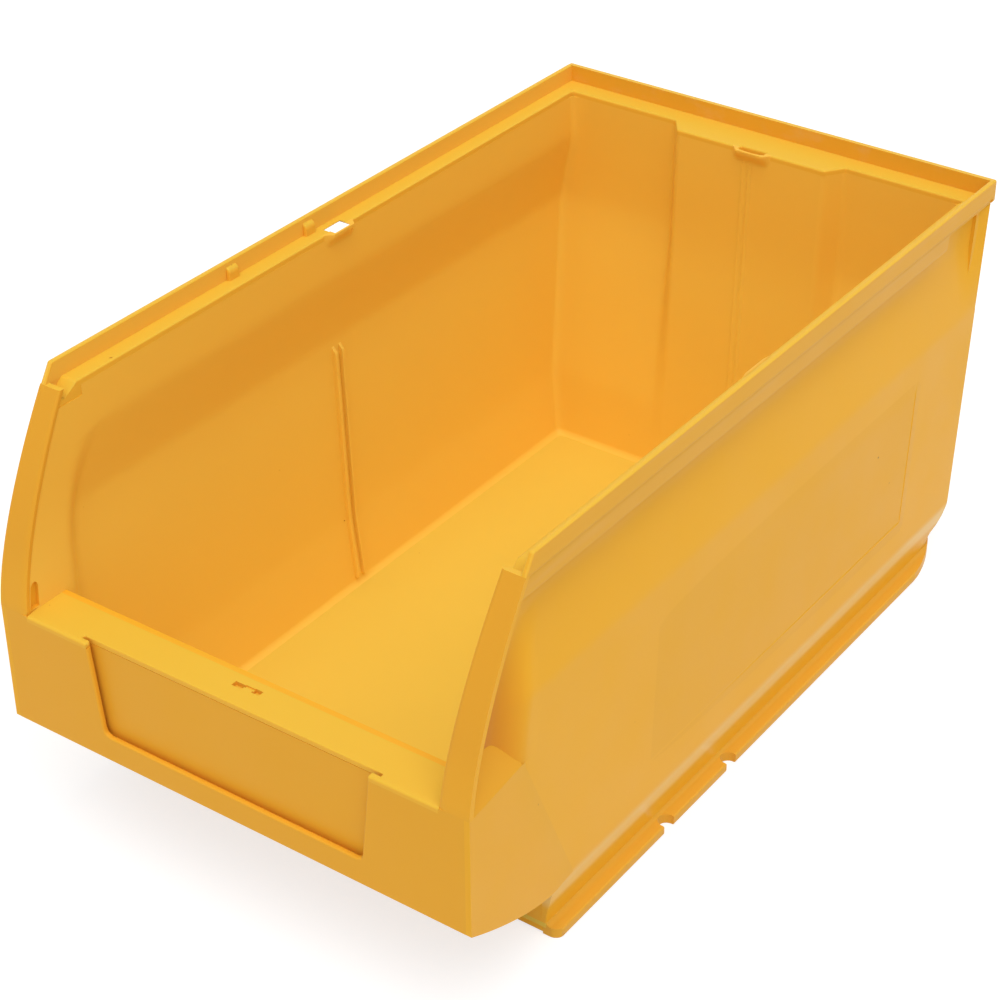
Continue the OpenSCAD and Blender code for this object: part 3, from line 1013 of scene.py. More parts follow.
    def rear_side_y(self, z: float) -> float:
        """Inside of the rear wall beside its middle panel."""
        return self.rear_side.at(z)

    def rear_mid_y(self, z: float) -> float:
        """Inside of the rear wall's middle panel."""
        return min(self.rear_side_y(z), mix(self.rear_low - self.rear_set, self.rear_mid,
                                            z / self.under_z))

    def cheek_z(self, y: float) -> float:
        """Lower edge of a front cheek."""
        share = max(0.0, 1.0 - (y + self.hy) / self.cheek_curl)
        return self.heel_z + (self.skirt_z - self.heel_z) * share ** self.cheek_power

    def cheek_out(self, y: float, z: float) -> float:
        """Outside of a front cheek, which runs out into the bulge, sooner at the sill.

        Args:
            y: place along the cheek.
            z: the height.

        Returns:
            Its X.
        """
        level = clamp((z - self.heel_z) / (self.sill_z - self.heel_z))
        short = self.bulge_front + self.blend - self.cheek_short
        length = mix(self.cheek_y + self.hy, short, level)
        return mix(self.hx, self.bulge_out(z), min(self.cheek_over, (y + self.hy) / length))

    def web_top(self, y: float) -> float:
        """Upper edge of the sloping web behind a front flange.

        Args:
            y: place along the flange.

        Returns:
            Its Z, higher where the hollow is deeper.
        """
        above = self.sill_z + self.rise * self.web_share
        return self.sill_z + self.web_rise * (self.cheek_out(y, self.sill_z)
                                              - self.wall_out(y, above))

    def fillet(self, z: float) -> float:
        """How far a surface stands in from a wall's inside in the rounded foot at the floor.

        Args:
            z: the height.

        Returns:
            The distance, 0 above the rounding.
        """
        left = self.floor_fillet - (z - self.floor_z)
        if left <= 0.0:
            return 0.0
        return self.floor_fillet - math.sqrt(max(0.0, self.floor_fillet ** 2 - left ** 2))

    def rows(self, top: float) -> list[float]:
        """Heights at which the walls are sampled, closer at the folds.

        Args:
            top: height of the last row.

        Returns:
            The heights, low to high, the sill among them.
        """
        f = self.floor_fillet
        marks = [self.floor_z + f * (1.0 - math.cos(math.radians(a))) for a in (0, 30, 60, 90)]
        knots = [self.web_z, self.heel_z, self.fold_z, self.sill_z, self.crease_z, self.strip_z]
        for k in knots:
            marks += [k + offset for offset in self.row_offsets]
        fine = sorted(m for m in marks if self.floor_z <= m < top - self.row_last)
        kept = [fine[0]]
        for m in fine[1:]:
            if m - kept[-1] > self.row_least:
                kept.append(m)
        kept.append(top)
        out: list[float] = []
        for a, b in zip(kept, kept[1:]):
            out += spread(a, b, self.row_step)[:-1]
        return out + [top]


# ---- the walls


@dataclass
class SideShell:
    """Side wall with its bulge, front flange, rear corner post and corner fillets.

    This is one skin, as the mould makes it: the flange turns round a soft edge into the
    flat frame, the frame swells into the bulge and the bulge turns into the rear wall.
    """

    mould: Mould
    side: Side
    edge_reach: float = 1.8
    edge_reach_low: float = 5.0
    edge_rise: float = 60.0
    edge_gap: float = 0.2
    lead: float = 0.4
    front_l: float = 18.0
    bulge_l: float = 70.0
    tail_l: float = 24.0
    front_step: float = 4.0
    bulge_step: float = 2.2
    plain_step: float = 9.0
    tail_step: float = 3.0
    front_fade: float = 90.0
    sill_fade: float = 120.0
    rear_fade: float = 80.0
    flange_steps: int = 8
    flange_gap: float = 0.4
    stretch_y: float = 150.0
    post_gap: float = 3.0
    post_lap: float = 0.2
    cut_reach: float = 6.0
    landing_free: float = 4.0
    rear_reach: float = 50.0
    insert_depth: float = 1.9
    hollow_l: float = 46.0
    embed: float = 0.08
    insert_slot: tuple[Point2, ...] = ((3.0, 0.9), (7.7, 0.9), (8.7, 9.8), (8.3, 11.5),
                                       (7.2, 12.4), (5.9, 12.0), (4.8, 10.6))

    def ends(self) -> Point2:
        """Places of the first and the last column at the sill."""
        m = self.mould
        return -m.hy + m.wall + self.lead, m.rear_in - m.corner_fillet

    def columns(self) -> list[float]:
        """Places along the wall at the sill, closer where the bulge begins.

        Returns:
            Values of Y, front to rear.
        """
        start, stop = self.ends()
        front, bulge = self.front_l - self.mould.hy, self.bulge_l - self.mould.hy
        out = spread(start, front, self.front_step)[:-1]
        out += spread(front, bulge, self.bulge_step)[:-1]
        out += spread(bulge, stop - self.tail_l, self.plain_step)[:-1]
        return out + spread(stop - self.tail_l, stop, self.tail_step)

    def along(self, y: float, z: float) -> float:
        """Place of a column at another height.

        Args:
            y: its place at the sill.
            z: the height.

        Returns:
            Its Y there: the front follows the leaning edge, the rear the rear wall.
        """
        m = self.mould
        start, stop = self.ends()
        if z >= m.sill_z:
            front = (m.front_y(z) + m.hy) * clamp(1.0 - (y - start) / self.front_fade)
        else:
            front = (m.inner_y(z) - m.sill_y) * clamp(1.0 - (y - m.sill_y) / self.sill_fade)
        rear = (m.rear_side_y(z) - m.rear_in) * clamp(1.0 - (stop - y) / self.rear_fade)
        return y + front + rear

    def path_in(self, z: float) -> list[Point2]:
        """Cavity side of the skin at one height, as X and Y.

        Args:
            z: the height.

        Returns:
            Points from the flange's outer edge round to the rear wall.
        """
        m = self.mould
        inset = m.fillet(z)
        edge = m.frame_edge(z)
        fy = m.front_y(z)
        reach = mix(self.edge_reach_low, self.edge_reach, smooth((z - m.sill_z) / self.edge_rise))
        flange = eased_path([(m.hx, fy), (m.rim_in, fy), (edge, fy),
                             (edge, fy + m.wall - self.edge_gap)], [0.0, 0.0, reach, 0.0])
        wall = [(m.wall_in(self.along(y, z), z) - inset, self.along(y, z))
                for y in self.columns()]
        ry = m.rear_side_y(z) - inset
        x = wall[-1][0]
        reach = m.corner_fillet
        corner = eased_path([wall[-1], (x, ry), (x - reach - m.run_out, ry)],
                            [0.0, reach, 0.0], steps=6)
        return flange + wall + corner[1:]

    def path_out(self, z: float) -> list[Point2]:
        """Outside of the skin at one height, as X and Y.

        Args:
            z: the height.

        Returns:
            As many points as path_in gives.
        """
        m = self.mould
        fy = m.front_y(z) + m.wall
        fo = m.frame_out(z)
        count = self.flange_steps
        flange = [(m.hx, fy)] + [(mix(m.rim_in, fo + self.flange_gap, i / (count - 1)), fy)
                                 for i in range(count)]
        turn = self.stretch_y
        ends = self.along(self.columns()[-1], z)
        wall = []
        for y in self.columns():
            y = self.along(y, z)
            if y > turn:
                y = turn + (y - turn) * (m.fin_y - self.post_gap - turn) / (ends - turn)
            wall.append((m.rear_out(y, z), y))
        fin = max(m.bulge_in(z), m.post_x(z) - m.wall)
        ry = m.rear_side_y(z) + m.wall
        last = m.wall_in(ends, z) - m.fillet(z) - m.corner_fillet - m.run_out
        post = [(m.post_x(z), m.fin_y), (fin, m.fin_y), (fin, mix(m.fin_y, ry, 0.5)), (fin, ry)]
        skin = flange + [m.foot_corner(x, y, z) for x, y in wall + post]
        return skin + [(mix(fin, last, k / 4.0), ry) for k in (1, 2, 3, 4)]

    def build(self) -> bpy.types.Object:
        """Builds the skin.

        Returns:
            Its object.
        """
        m = self.mould
        name = self.side.label
        rows = m.rows(m.under_z)
        flange = self.flange_steps + 1
        blank = flange + sum(1 for y in self.columns() if y < m.sill_y - 0.5)
        inner: Grid = []
        outer: Grid = []
        for z in rows + [m.ledge_z]:
            skip = blank if z < m.sill_z - HAIR else 0
            stop = flange if z > m.under_z + HAIR else len(self.path_in(z))
            level = z - self.embed if z == rows[0] else z
            for grid, path in ((inner, self.path_in(z)), (outer, self.path_out(z))):
                grid.append([(x, y, level) if skip <= i < stop else None
                             for i, (x, y) in enumerate(path)])
        piece = Piece(f"{name}_wall_shell", (f"{name}_side_wall", f"{name}_front_flange"),
                      Finish.SHELL, self.side)

        def in_hollow(point: Point3) -> bool:
            """Tells the hollow behind the flange, painted in shade, and the faces behind the post.

            Args:
                point: first point of a cell.

            Returns:
                Whether the cell lies there.
            """
            x, y, z = point
            return (y < self.hollow_l - m.hy and z > m.sill_z - HAIR
                    or y > m.rear_low and x < m.post_x(z) - m.wall + self.post_lap)

        # Flange front in its painted shade, cavity behind it; painted shade in the hollow outside.
        piece.skin_pair(inner, outer, Finish.CAVITY, self.flange_steps, Finish.FLANGE,
                        Finish.HOLLOW, in_hollow)
        floor = m.under_z - m.landing_drop
        piece.cut(Axis.X, m.ledge_in - self.cut_reach, m.rim_in + 1.0, [
            (m.front_y(floor) + m.wall + SLIP, floor), (m.landing_y, floor),
            (m.landing_y, m.height), (m.front_y(m.height) + m.wall + SLIP, m.height)])
        DividerSlot(m, self.side).take(piece)
        piece.cut(Axis.X, m.ledge_in - self.cut_reach, m.frame_in(m.sill_z) + self.insert_depth, [
            (y - m.hy, z + m.sill_z) for y, z in self.insert_slot])

        def seam(a: Vector, b: Vector) -> bool:
            """Edges at the ledge, the sill and the rear wall, where the moulding goes on.

            Args:
                a: one end of the edge.
                b: its other end.

            Returns:
                Whether it is one of them.
            """
            if min(a.z, b.z) > m.under_z - NEAR:
                free = (max(a.x, b.x) < m.rim_in + NEAR
                        and max(a.y, b.y) < m.landing_y - self.landing_free)
                return not (free and min(a.z, b.z) > m.ledge_z - NEAR or abs(a.z - b.z) > 1.0)
            if max(a.z, b.z) < m.sill_z + NEAR and max(a.y, b.y) < m.rear_low:
                return True
            level = m.floor_z + m.floor_fillet
            return max(a.z, b.z) < level or max(a.x, b.x) < m.half_top + self.rear_reach

        return piece.highlight_edges(m.under_z - 1.0).make(0.8, seam)


@dataclass(frozen=True)
class DividerSlot:
    """Slot for a cross divider in a side ledge, with the opening under it to the outside."""

    mould: Mould
    side: Side
    skin: float = 2.0
    near: float = 102.9
    near_hidden: float = 107.0
    far: float = 108.6
    base: float = 5.5
    wall_skin: float = 1.2
    rim_skin: float = 0.6
    reach: float = 22.5
    flare: float = 3.6
    depth: float = 3.0
    lean: float = 2.4
    lean_mid: float = 0.5
    stand_seen: float = 3.1
    stand_hidden: float = 0.8

    @property
    def stand(self) -> float:
        """How far the collar round the slot stands into the cavity."""
        return self.stand_seen if self.side is Side.LEFT else self.stand_hidden

    def take(self, piece: Piece) -> Piece:
        """Takes the slot, which widens downwards, and the opening under it out of a piece.

        Args:
            piece: ledge, wall shell or collar of the same side.

        Returns:
            The piece.
        """
        m = self.mould
        lo, hi = low("right_divider_seat"), high("right_divider_seat")
        near = self.near if self.side is Side.LEFT else self.near_hidden
        y0, y1 = lo.y + self.skin, hi.y - self.skin
        inner, outer = m.ledge_in + self.wall_skin, m.rim_in - self.rim_skin
        foot = m.under_z - self.base
        wide = y1 + self.flare
        rings = []
        for z, lean, x, y in ((m.under_z - self.depth, self.lean, outer, wide),
                              (m.under_z, self.lean_mid, outer, wide),
                              (m.ledge_z, 0.0, self.far, y1), (m.height, 0.0, self.far, y1)):
            rings.append([(near + lean, y0, z), (x, y0, z), (x, y, z), (near + lean, y, z)])
        piece.loft_cut(rings)
        return piece.cut(Axis.Y, y0 + HAIR, self.reach, [
            (inner, foot), (outer, foot), (outer, m.under_z + SLIP), (inner, m.under_z + SLIP)])


@dataclass(frozen=True)
class Collar:
    """Swelling of a wall that carries a divider slot, drawn as offsets from the wall.

    Args:
        width: its length along the wall.
        stand: how far it stands into the cavity.
        rise: height over which it swells from its foot.
        power: how late the swelling comes.
        shoulder: length over which it runs out at each end.
        sink: how far its borders lie in the wall.
        back: how far its back lies in the wall.
        step: distance of its columns.
        row_step: distance of its rows.
    """

    width: float
    stand: float
    rise: float = 7.0
    power: float = 1.6
    shoulder: float = 3.6
    sink: float = 0.07
    back: float = 0.8
    step: float = 0.8
    row_step: float = 0.9

    def grids(self, foot: float, top: float) -> tuple[Grid, Grid]:
        """Front and back of the collar.

        Args:
            foot: height of its lowest row.
            top: height of its highest row.

        Returns:
            Both as points of run along the wall, stand and height.
        """
        front: Grid = []
        back: Grid = []
        half = self.width / 2.0
        runs = spread(-half, half, self.step)
        heights = spread(foot, top, self.row_step)
        for z in heights:
            rise = smooth((z - heights[0]) / self.rise) ** self.power
            front.append([(s, self.stand * rise * smooth((half - abs(s)) / self.shoulder)
                           - self.sink, z) for s in runs])
            back.append([(s, -self.back, z) for s in runs])
        return front, back


@dataclass
class RearWall:
    """Rear wall with its recessed middle panel and the two divider ribs."""

    mould: Mould
    fold_reach: float = 2.2
    fold_share: float = 0.6
    fold_least: float = 0.05
    rib_gap: float = 1.8
    rib_t: float = 1.5
    rib_h: float = 0.45
    rib_x: float = -1.0
    rib_reach: float = 3.5
    rib_step: float = 0.35
    rib_sink: float = 0.04
    rib_back: float = 0.6
    rib_lap: float = 1.0
    slot: Point2 = (-5.3, 8.1)
    slot_depth: float = 3.0
    slot_skin: float = 0.8

    def path(self, z: float, depth: float) -> list[Point2]:
        """One face of the wall at one height.

        Args:
            z: the height.
            depth: distance behind the cavity side.

        Returns:
            Points from left to right.
        """
        m = self.mould
        inset = m.fillet(z) if depth == 0.0 else 0.0
        shell = SideShell(m, Side.RIGHT)
        end = (m.wall_in(shell.along(shell.columns()[-1], z), z) - m.fillet(z)
               - m.corner_fillet - m.run_out)
        side = m.rear_side_y(z) - inset + depth
        mid = m.rear_mid_y(z) - inset + depth
        turn = min(self.fold_reach, (side - mid) * self.fold_share + self.fold_least)
        half = [(end, side), (mix(end, m.half_top, 0.5), side), (m.half_top, side),
                (m.half_low, mid), (m.half_low * 0.5, mid)]
        reach = [0.0, 0.0, turn, turn, 0.0]
        right = eased_path(half + [(0.0, mid)], reach + [0.0], steps=4)
        return [(-x, y) for x, y in right[:-1]] + right[::-1]

    def build(self) -> list[bpy.types.Object]:
        """Builds the wall and its ribs.

        Returns:
            Their objects.
        """
        m = self.mould
        rows = m.rows(m.under_z)
        wall = Piece("rear_wall_shell", ("rear_wall",), Finish.SATIN)
        wall.skin_pair([[(x, y, z) for x, y in self.path(z, 0.0)] for z in rows],
                       [[(x, y, z) for x, y in self.path(z, m.wall)] for z in rows],
                       Finish.CAVITY)
        wall.box_cut(self.slot, (m.rear_mid - 1.0, m.rear_mid + m.wall - self.slot_skin),
                     (m.under_z - self.slot_depth, m.under_z + 1.0))
        made = [wall.make(0.0)]
        top = low("rear_divider_seat").z + self.rib_lap
        ribs = Piece("rear_divider_rib_pair", ("rear_divider_ribs",), Finish.CAVITY)
        heights = [z for z in rows if z < top] + [top]
        runs = spread(-self.rib_reach, self.rib_reach, self.rib_step)
        away = (self.rib_gap + self.rib_t) / 2.0
        stand = [self.rib_h * smooth(1.0 - abs(abs(x) - away) / self.rib_t) - self.rib_sink
                 for x in runs]
        ribs.skin_pair(
            [[(x + self.rib_x, m.rear_mid_y(z) - m.fillet(z) - h, z) for x, h in zip(runs, stand)]
             for z in heights],
            [[(x + self.rib_x, m.rear_mid_y(z) + self.rib_back, z) for x in runs]
             for z in heights])
        made.append(ribs.make(0.0))
        return made


# ---- the front


@dataclass
class FrontPanel:
    """Label panel with its card pocket, the sill over it and the sloping wall behind."""

    mould: Mould
    label_h: float = 43.0
    label_low: float = 130.0
    label_top: float = 139.0
    card_gap: float = 1.5
    card_lap: float = 4.0
    back_t: float = 2.2
    corner_step: tuple[float, float, float] = (3.0, 0.7, 3.2)
    sill_side: float = 9.0
    sill_skew: float = 2.0
    marks_x: float = 9.0
    soft_share: float = 0.25
    slope_share: float = 0.2
    divider_marks: tuple[tuple[Point2, Point2, float], ...] = (
        ((-6.2, -1.2), (-7.2, -4.4), 2.0), ((3.0, 6.8), (-6.6, -3.8), 2.0),
        ((-1.4, 3.2), (-5.6, -4.1), 0.7))

    def window(self) -> list[Point2]:
        """Outline of the label window, as X and Z.

        Returns:
            Its corners, with small steps at the foot and an open top.
        """
        m = self.mould
        z0 = m.sill_z - self.label_h
        lo, hi = self.label_low / 2.0, self.label_top / 2.0
        run, step, rise = self.corner_step
        right = [(lo - run, z0), (lo - step, z0 + 1.0), (lo, z0 + rise), (hi, m.sill_z + 1.0)]
        return [(-x, z) for x, z in right] + right[::-1]

    def sill_outline(self) -> list[Point2]:
        """Outline of the sill, as X and Y.

        Returns:
            Its corners. The front edge is set back over the label and notched for the card.
        """
        m = self.mould
        edge = m.frame_edge(m.sill_z)
        lip, lap = self.label_top / 2.0, self.label_top / 2.0 + self.card_lap
        back, slot = m.wall + self.card_gap - m.hy, m.wall - m.hy
        x1 = high("front_sill").x - 1.0
        right = [(lap, back), (lap, slot), (lip, slot), (lip, -m.hy), (edge, -m.hy),
                 (edge, slot), (m.rim_in, slot), (m.rim_in, slot + self.sill_side),
                 (x1 - self.sill_skew, m.sill_y)]
        return [(-x, y) for x, y in right[::-1]] + right

    def build(self) -> list[bpy.types.Object]:
        """Builds the four regions.

        Returns:
            Their objects.
        """
        m = self.mould
        y0 = -m.hy
        under = m.sill_z - m.wall
        edge = m.frame_edge(m.sill_z)

        def flush(a: Vector, b: Vector) -> bool:
            """Edges where the panel runs on into the cheeks, the flanges and the sill."""
            side = min(abs(a.x), abs(b.x)) > m.rim_in - NEAR
            return side or min(a.z, b.z) > under - NEAR

        # Painted shade: the panel and its card pocket take the darker front tone.
        panel = Piece("label_panel_face", ("label_panel",), Finish.FRONT)
        panel.sweep(Axis.Y, y0, y0 + m.wall, [
            (-m.rim_in, m.skirt_z), (m.rim_in, m.skirt_z), (m.rim_in, m.sill_z),
            (edge, m.sill_z), (edge, under), (-edge, under), (-edge, m.sill_z),
            (-m.rim_in, m.sill_z)])
        panel.cut(Axis.Y, y0 - 1.0, y0 + m.wall + 1.0, self.window())
        made = [panel.make(0.8, flush, limit=25.0)]

        px = self.label_top / 2.0 + 2.0 * self.card_lap
        pz = m.sill_z - self.label_h - 2.0 * self.card_lap + 1.0
        depth = m.wall + self.card_gap + self.back_t
        pocket = Piece("label_card_pocket", ("label_pocket",), Finish.FRONT)
        pocket.sweep(Axis.Y, y0 + m.wall, y0 + depth, [(-px, pz), (px, pz), (px, under),
                                                       (-px, under)])
        pocket.box_cut((-px + self.card_lap, px - self.card_lap),
                       (y0, y0 + m.wall + self.card_gap), (pz + self.card_lap, m.sill_z + 1.0))
        made.append(pocket.make(0.5, lambda a, b: min(a.y, b.y) > y0 + depth - NEAR
                                or max(a.y, b.y) < y0 + m.wall + NEAR
                                or min(a.z, b.z) > under - NEAR, limit=25.0))

        sill = Piece("front_sill_shelf", ("front_sill",), Finish.INNER)
        sill.sweep(Axis.Z, under, m.sill_z, self.sill_outline())
        for x, y, depth in self.divider_marks:
            sill.box_cut(x, (m.sill_y + y[0], m.sill_y + y[1]), (m.sill_z - depth, m.sill_z + 1.0))

        def behind(a: Vector, b: Vector) -> bool:
            """Edges under the flanges, round the marks and below the front edge.

            Args:
                a: one end of the edge.
                b: its other end.

            Returns:
                Whether it is one of them.
            """
            below = min(a.z, b.z) < under + NEAR and max(a.y, b.y) < y0 + depth
            return (below or min(abs(a.x), abs(b.x)) > edge - NEAR
                    or max(abs(a.x), abs(b.x)) < self.marks_x)

        def soft(a: Vector, b: Vector) -> float:
            """Share of the rounding: all of it along the front edge, less elsewhere."""
            return 1.0 if max(a.y, b.y) < y0 + NEAR else self.soft_share

        made.append(sill.make(1.8, behind, limit=25.0, steps=4, share=soft))

        rows = m.rows(m.sill_z)
        inner: Grid = []
        outer: Grid = []
        for z in rows:
            y = m.inner_y(z)
            inset = m.fillet(z)
            xs = spread(-1.0, 1.0, self.slope_share)
            a, b = m.wall_in(y + m.wall, z), m.wall_in(y, z)
            inner.append([(x * a, y + m.wall + inset, z) for x in xs])
            outer.append([(x * b, y, z) for x in xs])
        slope = Piece("inner_front_slope", ("inner_front_wall",), Finish.SATIN)
        slope.skin_pair(inner, outer, Finish.CAVITY)
        made.append(slope.make(0.0))
        return made


@dataclass
class FrontCorner:
    """Cheek beside the label panel and the sloping web that closes the hollow over it."""

    mould: Mould
    side: Side
    cheek_step: float = 2.6
    edge_rows: tuple[float, ...] = (0.0, 0.03, 0.07)
    row_start: float = 0.12
    row_step: float = 0.055
    thick_share: float = 0.44
    tip_t: float = 0.05
    tip_l: float = 3.0
    web_short: float = 2.2
    web_step: float = 2.0
    web_row: float = 0.14
    web_drop: float = 0.6
    web_foot: float = 0.1

    def cheek(self) -> bpy.types.Object:
        """Builds the cheek.

        Returns:
            Its object.
        """
        m = self.mould
        length = m.cheek_y + m.hy
        ys = [-m.hy, m.wall - m.hy] + spread(m.wall - m.hy, m.cheek_y, self.cheek_step)[1:]
        shares = [*self.edge_rows, *spread(self.row_start, 1.0, self.row_step)]

        def inside(y: float, z: float) -> float:
            """Inside of the cheek, which lies against the bulge where the cheek runs out.

            Args:
                y: place along the cheek.
                z: the height.

            Returns:
                Its X.
            """
            if y <= m.wall - m.hy + HAIR:
                return m.rim_in
            if y < self.thick_share * length - m.hy:
                return min(m.rim_in, m.cheek_out(y, z) - m.wall)
            return min(m.cheek_out(y, z) - self.tip_t, m.bulge_out(z))

        outer: Grid = []
        inner: Grid = []
        for t in shares:
            zs = [mix(m.cheek_z(y), m.sill_z, t) for y in ys]
            outer.append([(m.cheek_out(y, z), y, z) for y, z in zip(ys, zs)])
            inner.append([(inside(y, z), y, z) for y, z in zip(ys, zs)])
        name = self.side.label
        piece = Piece(f"{name}_cheek_shell", (f"{name}_front_cheek",), Finish.SATIN, self.side)
        piece.skin_pair(inner, outer)

        def seam(a: Vector, b: Vector) -> bool:
            """Edges against the panel, the flange, the web and the wall.

            Args:
                a: one end of the edge.
                b: its other end.

            Returns:
                Whether it is one of them.
            """
            panel = max(a.x, b.x) < m.rim_in + NEAR and max(a.y, b.y) < m.wall - m.hy + NEAR
            return (panel or min(a.z, b.z) > m.sill_z - NEAR
                    or min(a.y, b.y) > m.cheek_y - self.tip_l)

        return piece.highlight_edges().make(0.9, seam, limit=35.0)

    def web(self) -> bpy.types.Object:
        """Builds the sloping web.

        Returns:
            Its object.
        """
        m = self.mould
        start, stop = m.wall - m.hy, m.bulge_front + m.blend - self.web_short - m.hy
        ys = spread(start, stop, self.web_step)
        steps = spread(0.0, 1.0, self.web_row)
        outer: Grid = [[] for _ in steps]
        inner: Grid = [[] for _ in steps]
        for y in ys:
            top = m.web_top(y)
            yt = max(y, m.front_y(top) + m.wall)
            foot = Vector((m.cheek_out(y, m.sill_z), y, m.sill_z))
            head = Vector((m.wall_out(yt, top), yt, top))
            drop = min(m.wall, self.web_drop * (top - m.sill_z))
            under = Vector((max(m.cheek_out(y, m.sill_z) - m.wall,
                                m.wall_out(y, m.sill_z) + self.web_foot), y, m.sill_z))
            tip = Vector((m.wall_out(yt, top - drop), yt, top - drop))
            for grid, a, b in ((outer, foot, head), (inner, under, tip)):
                for row, t in zip(grid, steps):
                    row.append(tuple(a.lerp(b, t)))
        name = self.side.label
        # Painted shade: the web takes the darker front tone.
        piece = Piece(f"{name}_corner_slope", (f"{name}_corner_web",), Finish.FRONT, self.side)
        piece.skin_pair(inner, outer)
        return piece.make(0.0)

    def build(self) -> list[bpy.types.Object]:
        """Builds cheek and web, and returns their objects."""
        return [self.cheek(), self.web()]


# ---- the rim


@dataclass
class SideRim:
    """Stacking ledge, upstanding rim and hanging strip along one side, with the divider seat."""

    mould: Mould
    side: Side
    landing_run: float = 5.5
    landing_set: float = 0.4
    lap: float = 0.6
    step: float = 0.8
    foot_lap: float = 0.3
    draft: float = 0.6
    strip_step: float = 1.9
    strip_run: float = 12.0
    strip_lap: float = 0.2
    relief: Point2 = (3.0, 24.5)
    collar_run: float = 6.0
    collar_seam: float = 0.3

    def ledge(self) -> bpy.types.Object:
        """Builds the ledge with its lower landing behind the flange.

        Returns:
            Its object.
        """
        m = self.mould
        t = m.ledge_z - m.under_z
        low_z = m.under_z - m.landing_drop
        ahead = m.wall * self.landing_set
        outline = [(m.join_y, m.under_z), (m.landing_y, m.under_z), (m.landing_y, low_z),
                   (m.front_y(low_z) + ahead, low_z), (m.front_y(low_z + t) + ahead, low_z + t),
                   (m.landing_y - t - self.landing_run, low_z + t), (m.landing_y - t, m.ledge_z),
                   (m.join_y, m.ledge_z)]
        name = self.side.label
        piece = Piece(f"{name}_stacking_ledge", (f"{name}_ledge",), Finish.INNER, self.side)
        piece.sweep(Axis.X, m.ledge_in, m.rim_in + self.lap, outline)
        DividerSlot(m, self.side).take(piece)

        def seam(a: Vector, b: Vector) -> bool:
            """Edges against the rims and the wall, and the slot's under the ledge.

            Args:
                a: one end of the edge.
                b: its other end.

            Returns:
                Whether it is one of them.
            """
            return (min(a.x, b.x) > m.rim_in - NEAR or min(a.y, b.y) > m.join_y - NEAR
                    or min(a.z, b.z) < m.ledge_z - NEAR and min(a.y, b.y) > m.landing_y
                    or max(a.x, b.x) < m.ledge_in + NEAR and max(a.z, b.z) < m.under_z + NEAR)

        return piece.make(0.9, seam)

    def rim(self) -> bpy.types.Object:
        """Builds the upstanding rim.

        Returns:
            Its object.
        """
        m = self.mould
        foot = m.ledge_z - self.step
        outline = [(m.front_y(m.height), m.height), (m.front_y(m.ledge_z), m.ledge_z),
                   (m.front_y(m.ledge_z) + m.wall, m.ledge_z),
                   (m.front_y(foot) + m.wall, foot), (m.fin_y, foot), (m.fin_y, m.height)]
        name = self.side.label
        # Painted light: the left rim, seen from inside, takes the pale cavity tone.
        finish = Finish.CAVITY if self.side is Side.LEFT else Finish.RUBBED_AND_GLINTING
        piece = Piece(f"{name}_upstand_rim", (f"{name}_rim",), finish, self.side)
        piece.sweep(Axis.X, m.rim_in, m.hx, outline)
        piece.sweep(Axis.X, m.rim_in, m.hx - self.step, [
            (m.front_y(foot) + m.wall, foot + self.foot_lap),
            (m.front_y(m.under_z) + m.wall, m.under_z), (m.fin_y, m.under_z),
            (m.fin_y, foot + self.foot_lap)])

        def seam(a: Vector, b: Vector) -> bool:
            """Edges against the flange, the ledge and the rear rim.

            Args:
                a: one end of the edge.
                b: its other end.

            Returns:
                Whether it is one of them.
            """
            under = max(abs(a.z - foot), abs(b.z - foot)) < NEAR and min(a.x, b.x) > m.hx - NEAR
            return (min(a.y, b.y) > m.fin_y - NEAR
                    or max(a.z, b.z) < m.ledge_z + NEAR and not under)

        return piece.highlight_edges(m.height - 0.5).make(1.0, seam, limit=20.0)

    def apron(self) -> bpy.types.Object:
        """Builds the strip that hangs under the rim.

        Returns:
            Its object.
        """
        m = self.mould
        name = self.side.label
        y1 = high("right_apron").y
        inner: Grid = []
        outer: Grid = []
        for z in spread(m.apron_z, m.under_z, self.strip_step):
            out = m.hx - self.step - self.draft * (m.under_z - z) / (m.under_z - m.apron_z)
            ys = spread(m.front_y(z) + m.wall, y1, self.strip_run)
            outer.append([(out, y, z) for y in ys])
            inner.append([(m.rim_in - self.strip_lap, y, z) for y in ys])
        piece = Piece(f"{name}_hanging_strip", (f"{name}_apron",), Finish.RUBBED_AND_GLINTING, self.side)
        piece.skin_pair(inner, outer)
        if self.side is Side.LEFT:
            piece.box_cut((m.rim_in - 1.0, m.hx), self.relief, (m.apron_z - 1.0, m.under_z + 1.0))
        return piece.make(0.5, lambda a, b: min(a.z, b.z) > m.under_z - NEAR)

    def seat(self) -> bpy.types.Object:
        """Builds the collar that carries the divider slot under the ledge.

        Returns:
            Its object.
        """
        m = self.mould
        lo, hi = low("right_divider_seat"), high("right_divider_seat")
        slot = DividerSlot(m, self.side)
        name = self.side.label
        piece = Piece(f"{name}_divider_collar", (f"{name}_divider_seat",), Finish.CAVITY,
                      self.side)
        collar = Collar(hi.y - lo.y + self.collar_run, slot.stand)
        front, back = collar.grids(lo.z, m.ledge_z)
        middle = (lo.y + hi.y) / 2.0

        def placed(grid: Grid) -> Grid:
            """Points of the collar at its place on the wall."""
            return [[(min(m.ledge_in, m.frame_in(z)) - d, middle + s, z) for s, d, z in row]
                    for row in grid]

        piece.skin_pair(placed(front), placed(back))
        if self.side is Side.LEFT:
            slot.take(piece)
        return piece.make(0.4, lambda a, b: min(a.x, b.x) > m.ledge_in - self.collar_seam)

    def build(self) -> list[bpy.types.Object]:
        """Builds the four regions and returns their objects."""
        return [self.ledge(), self.rim(), self.apron(), self.seat()]


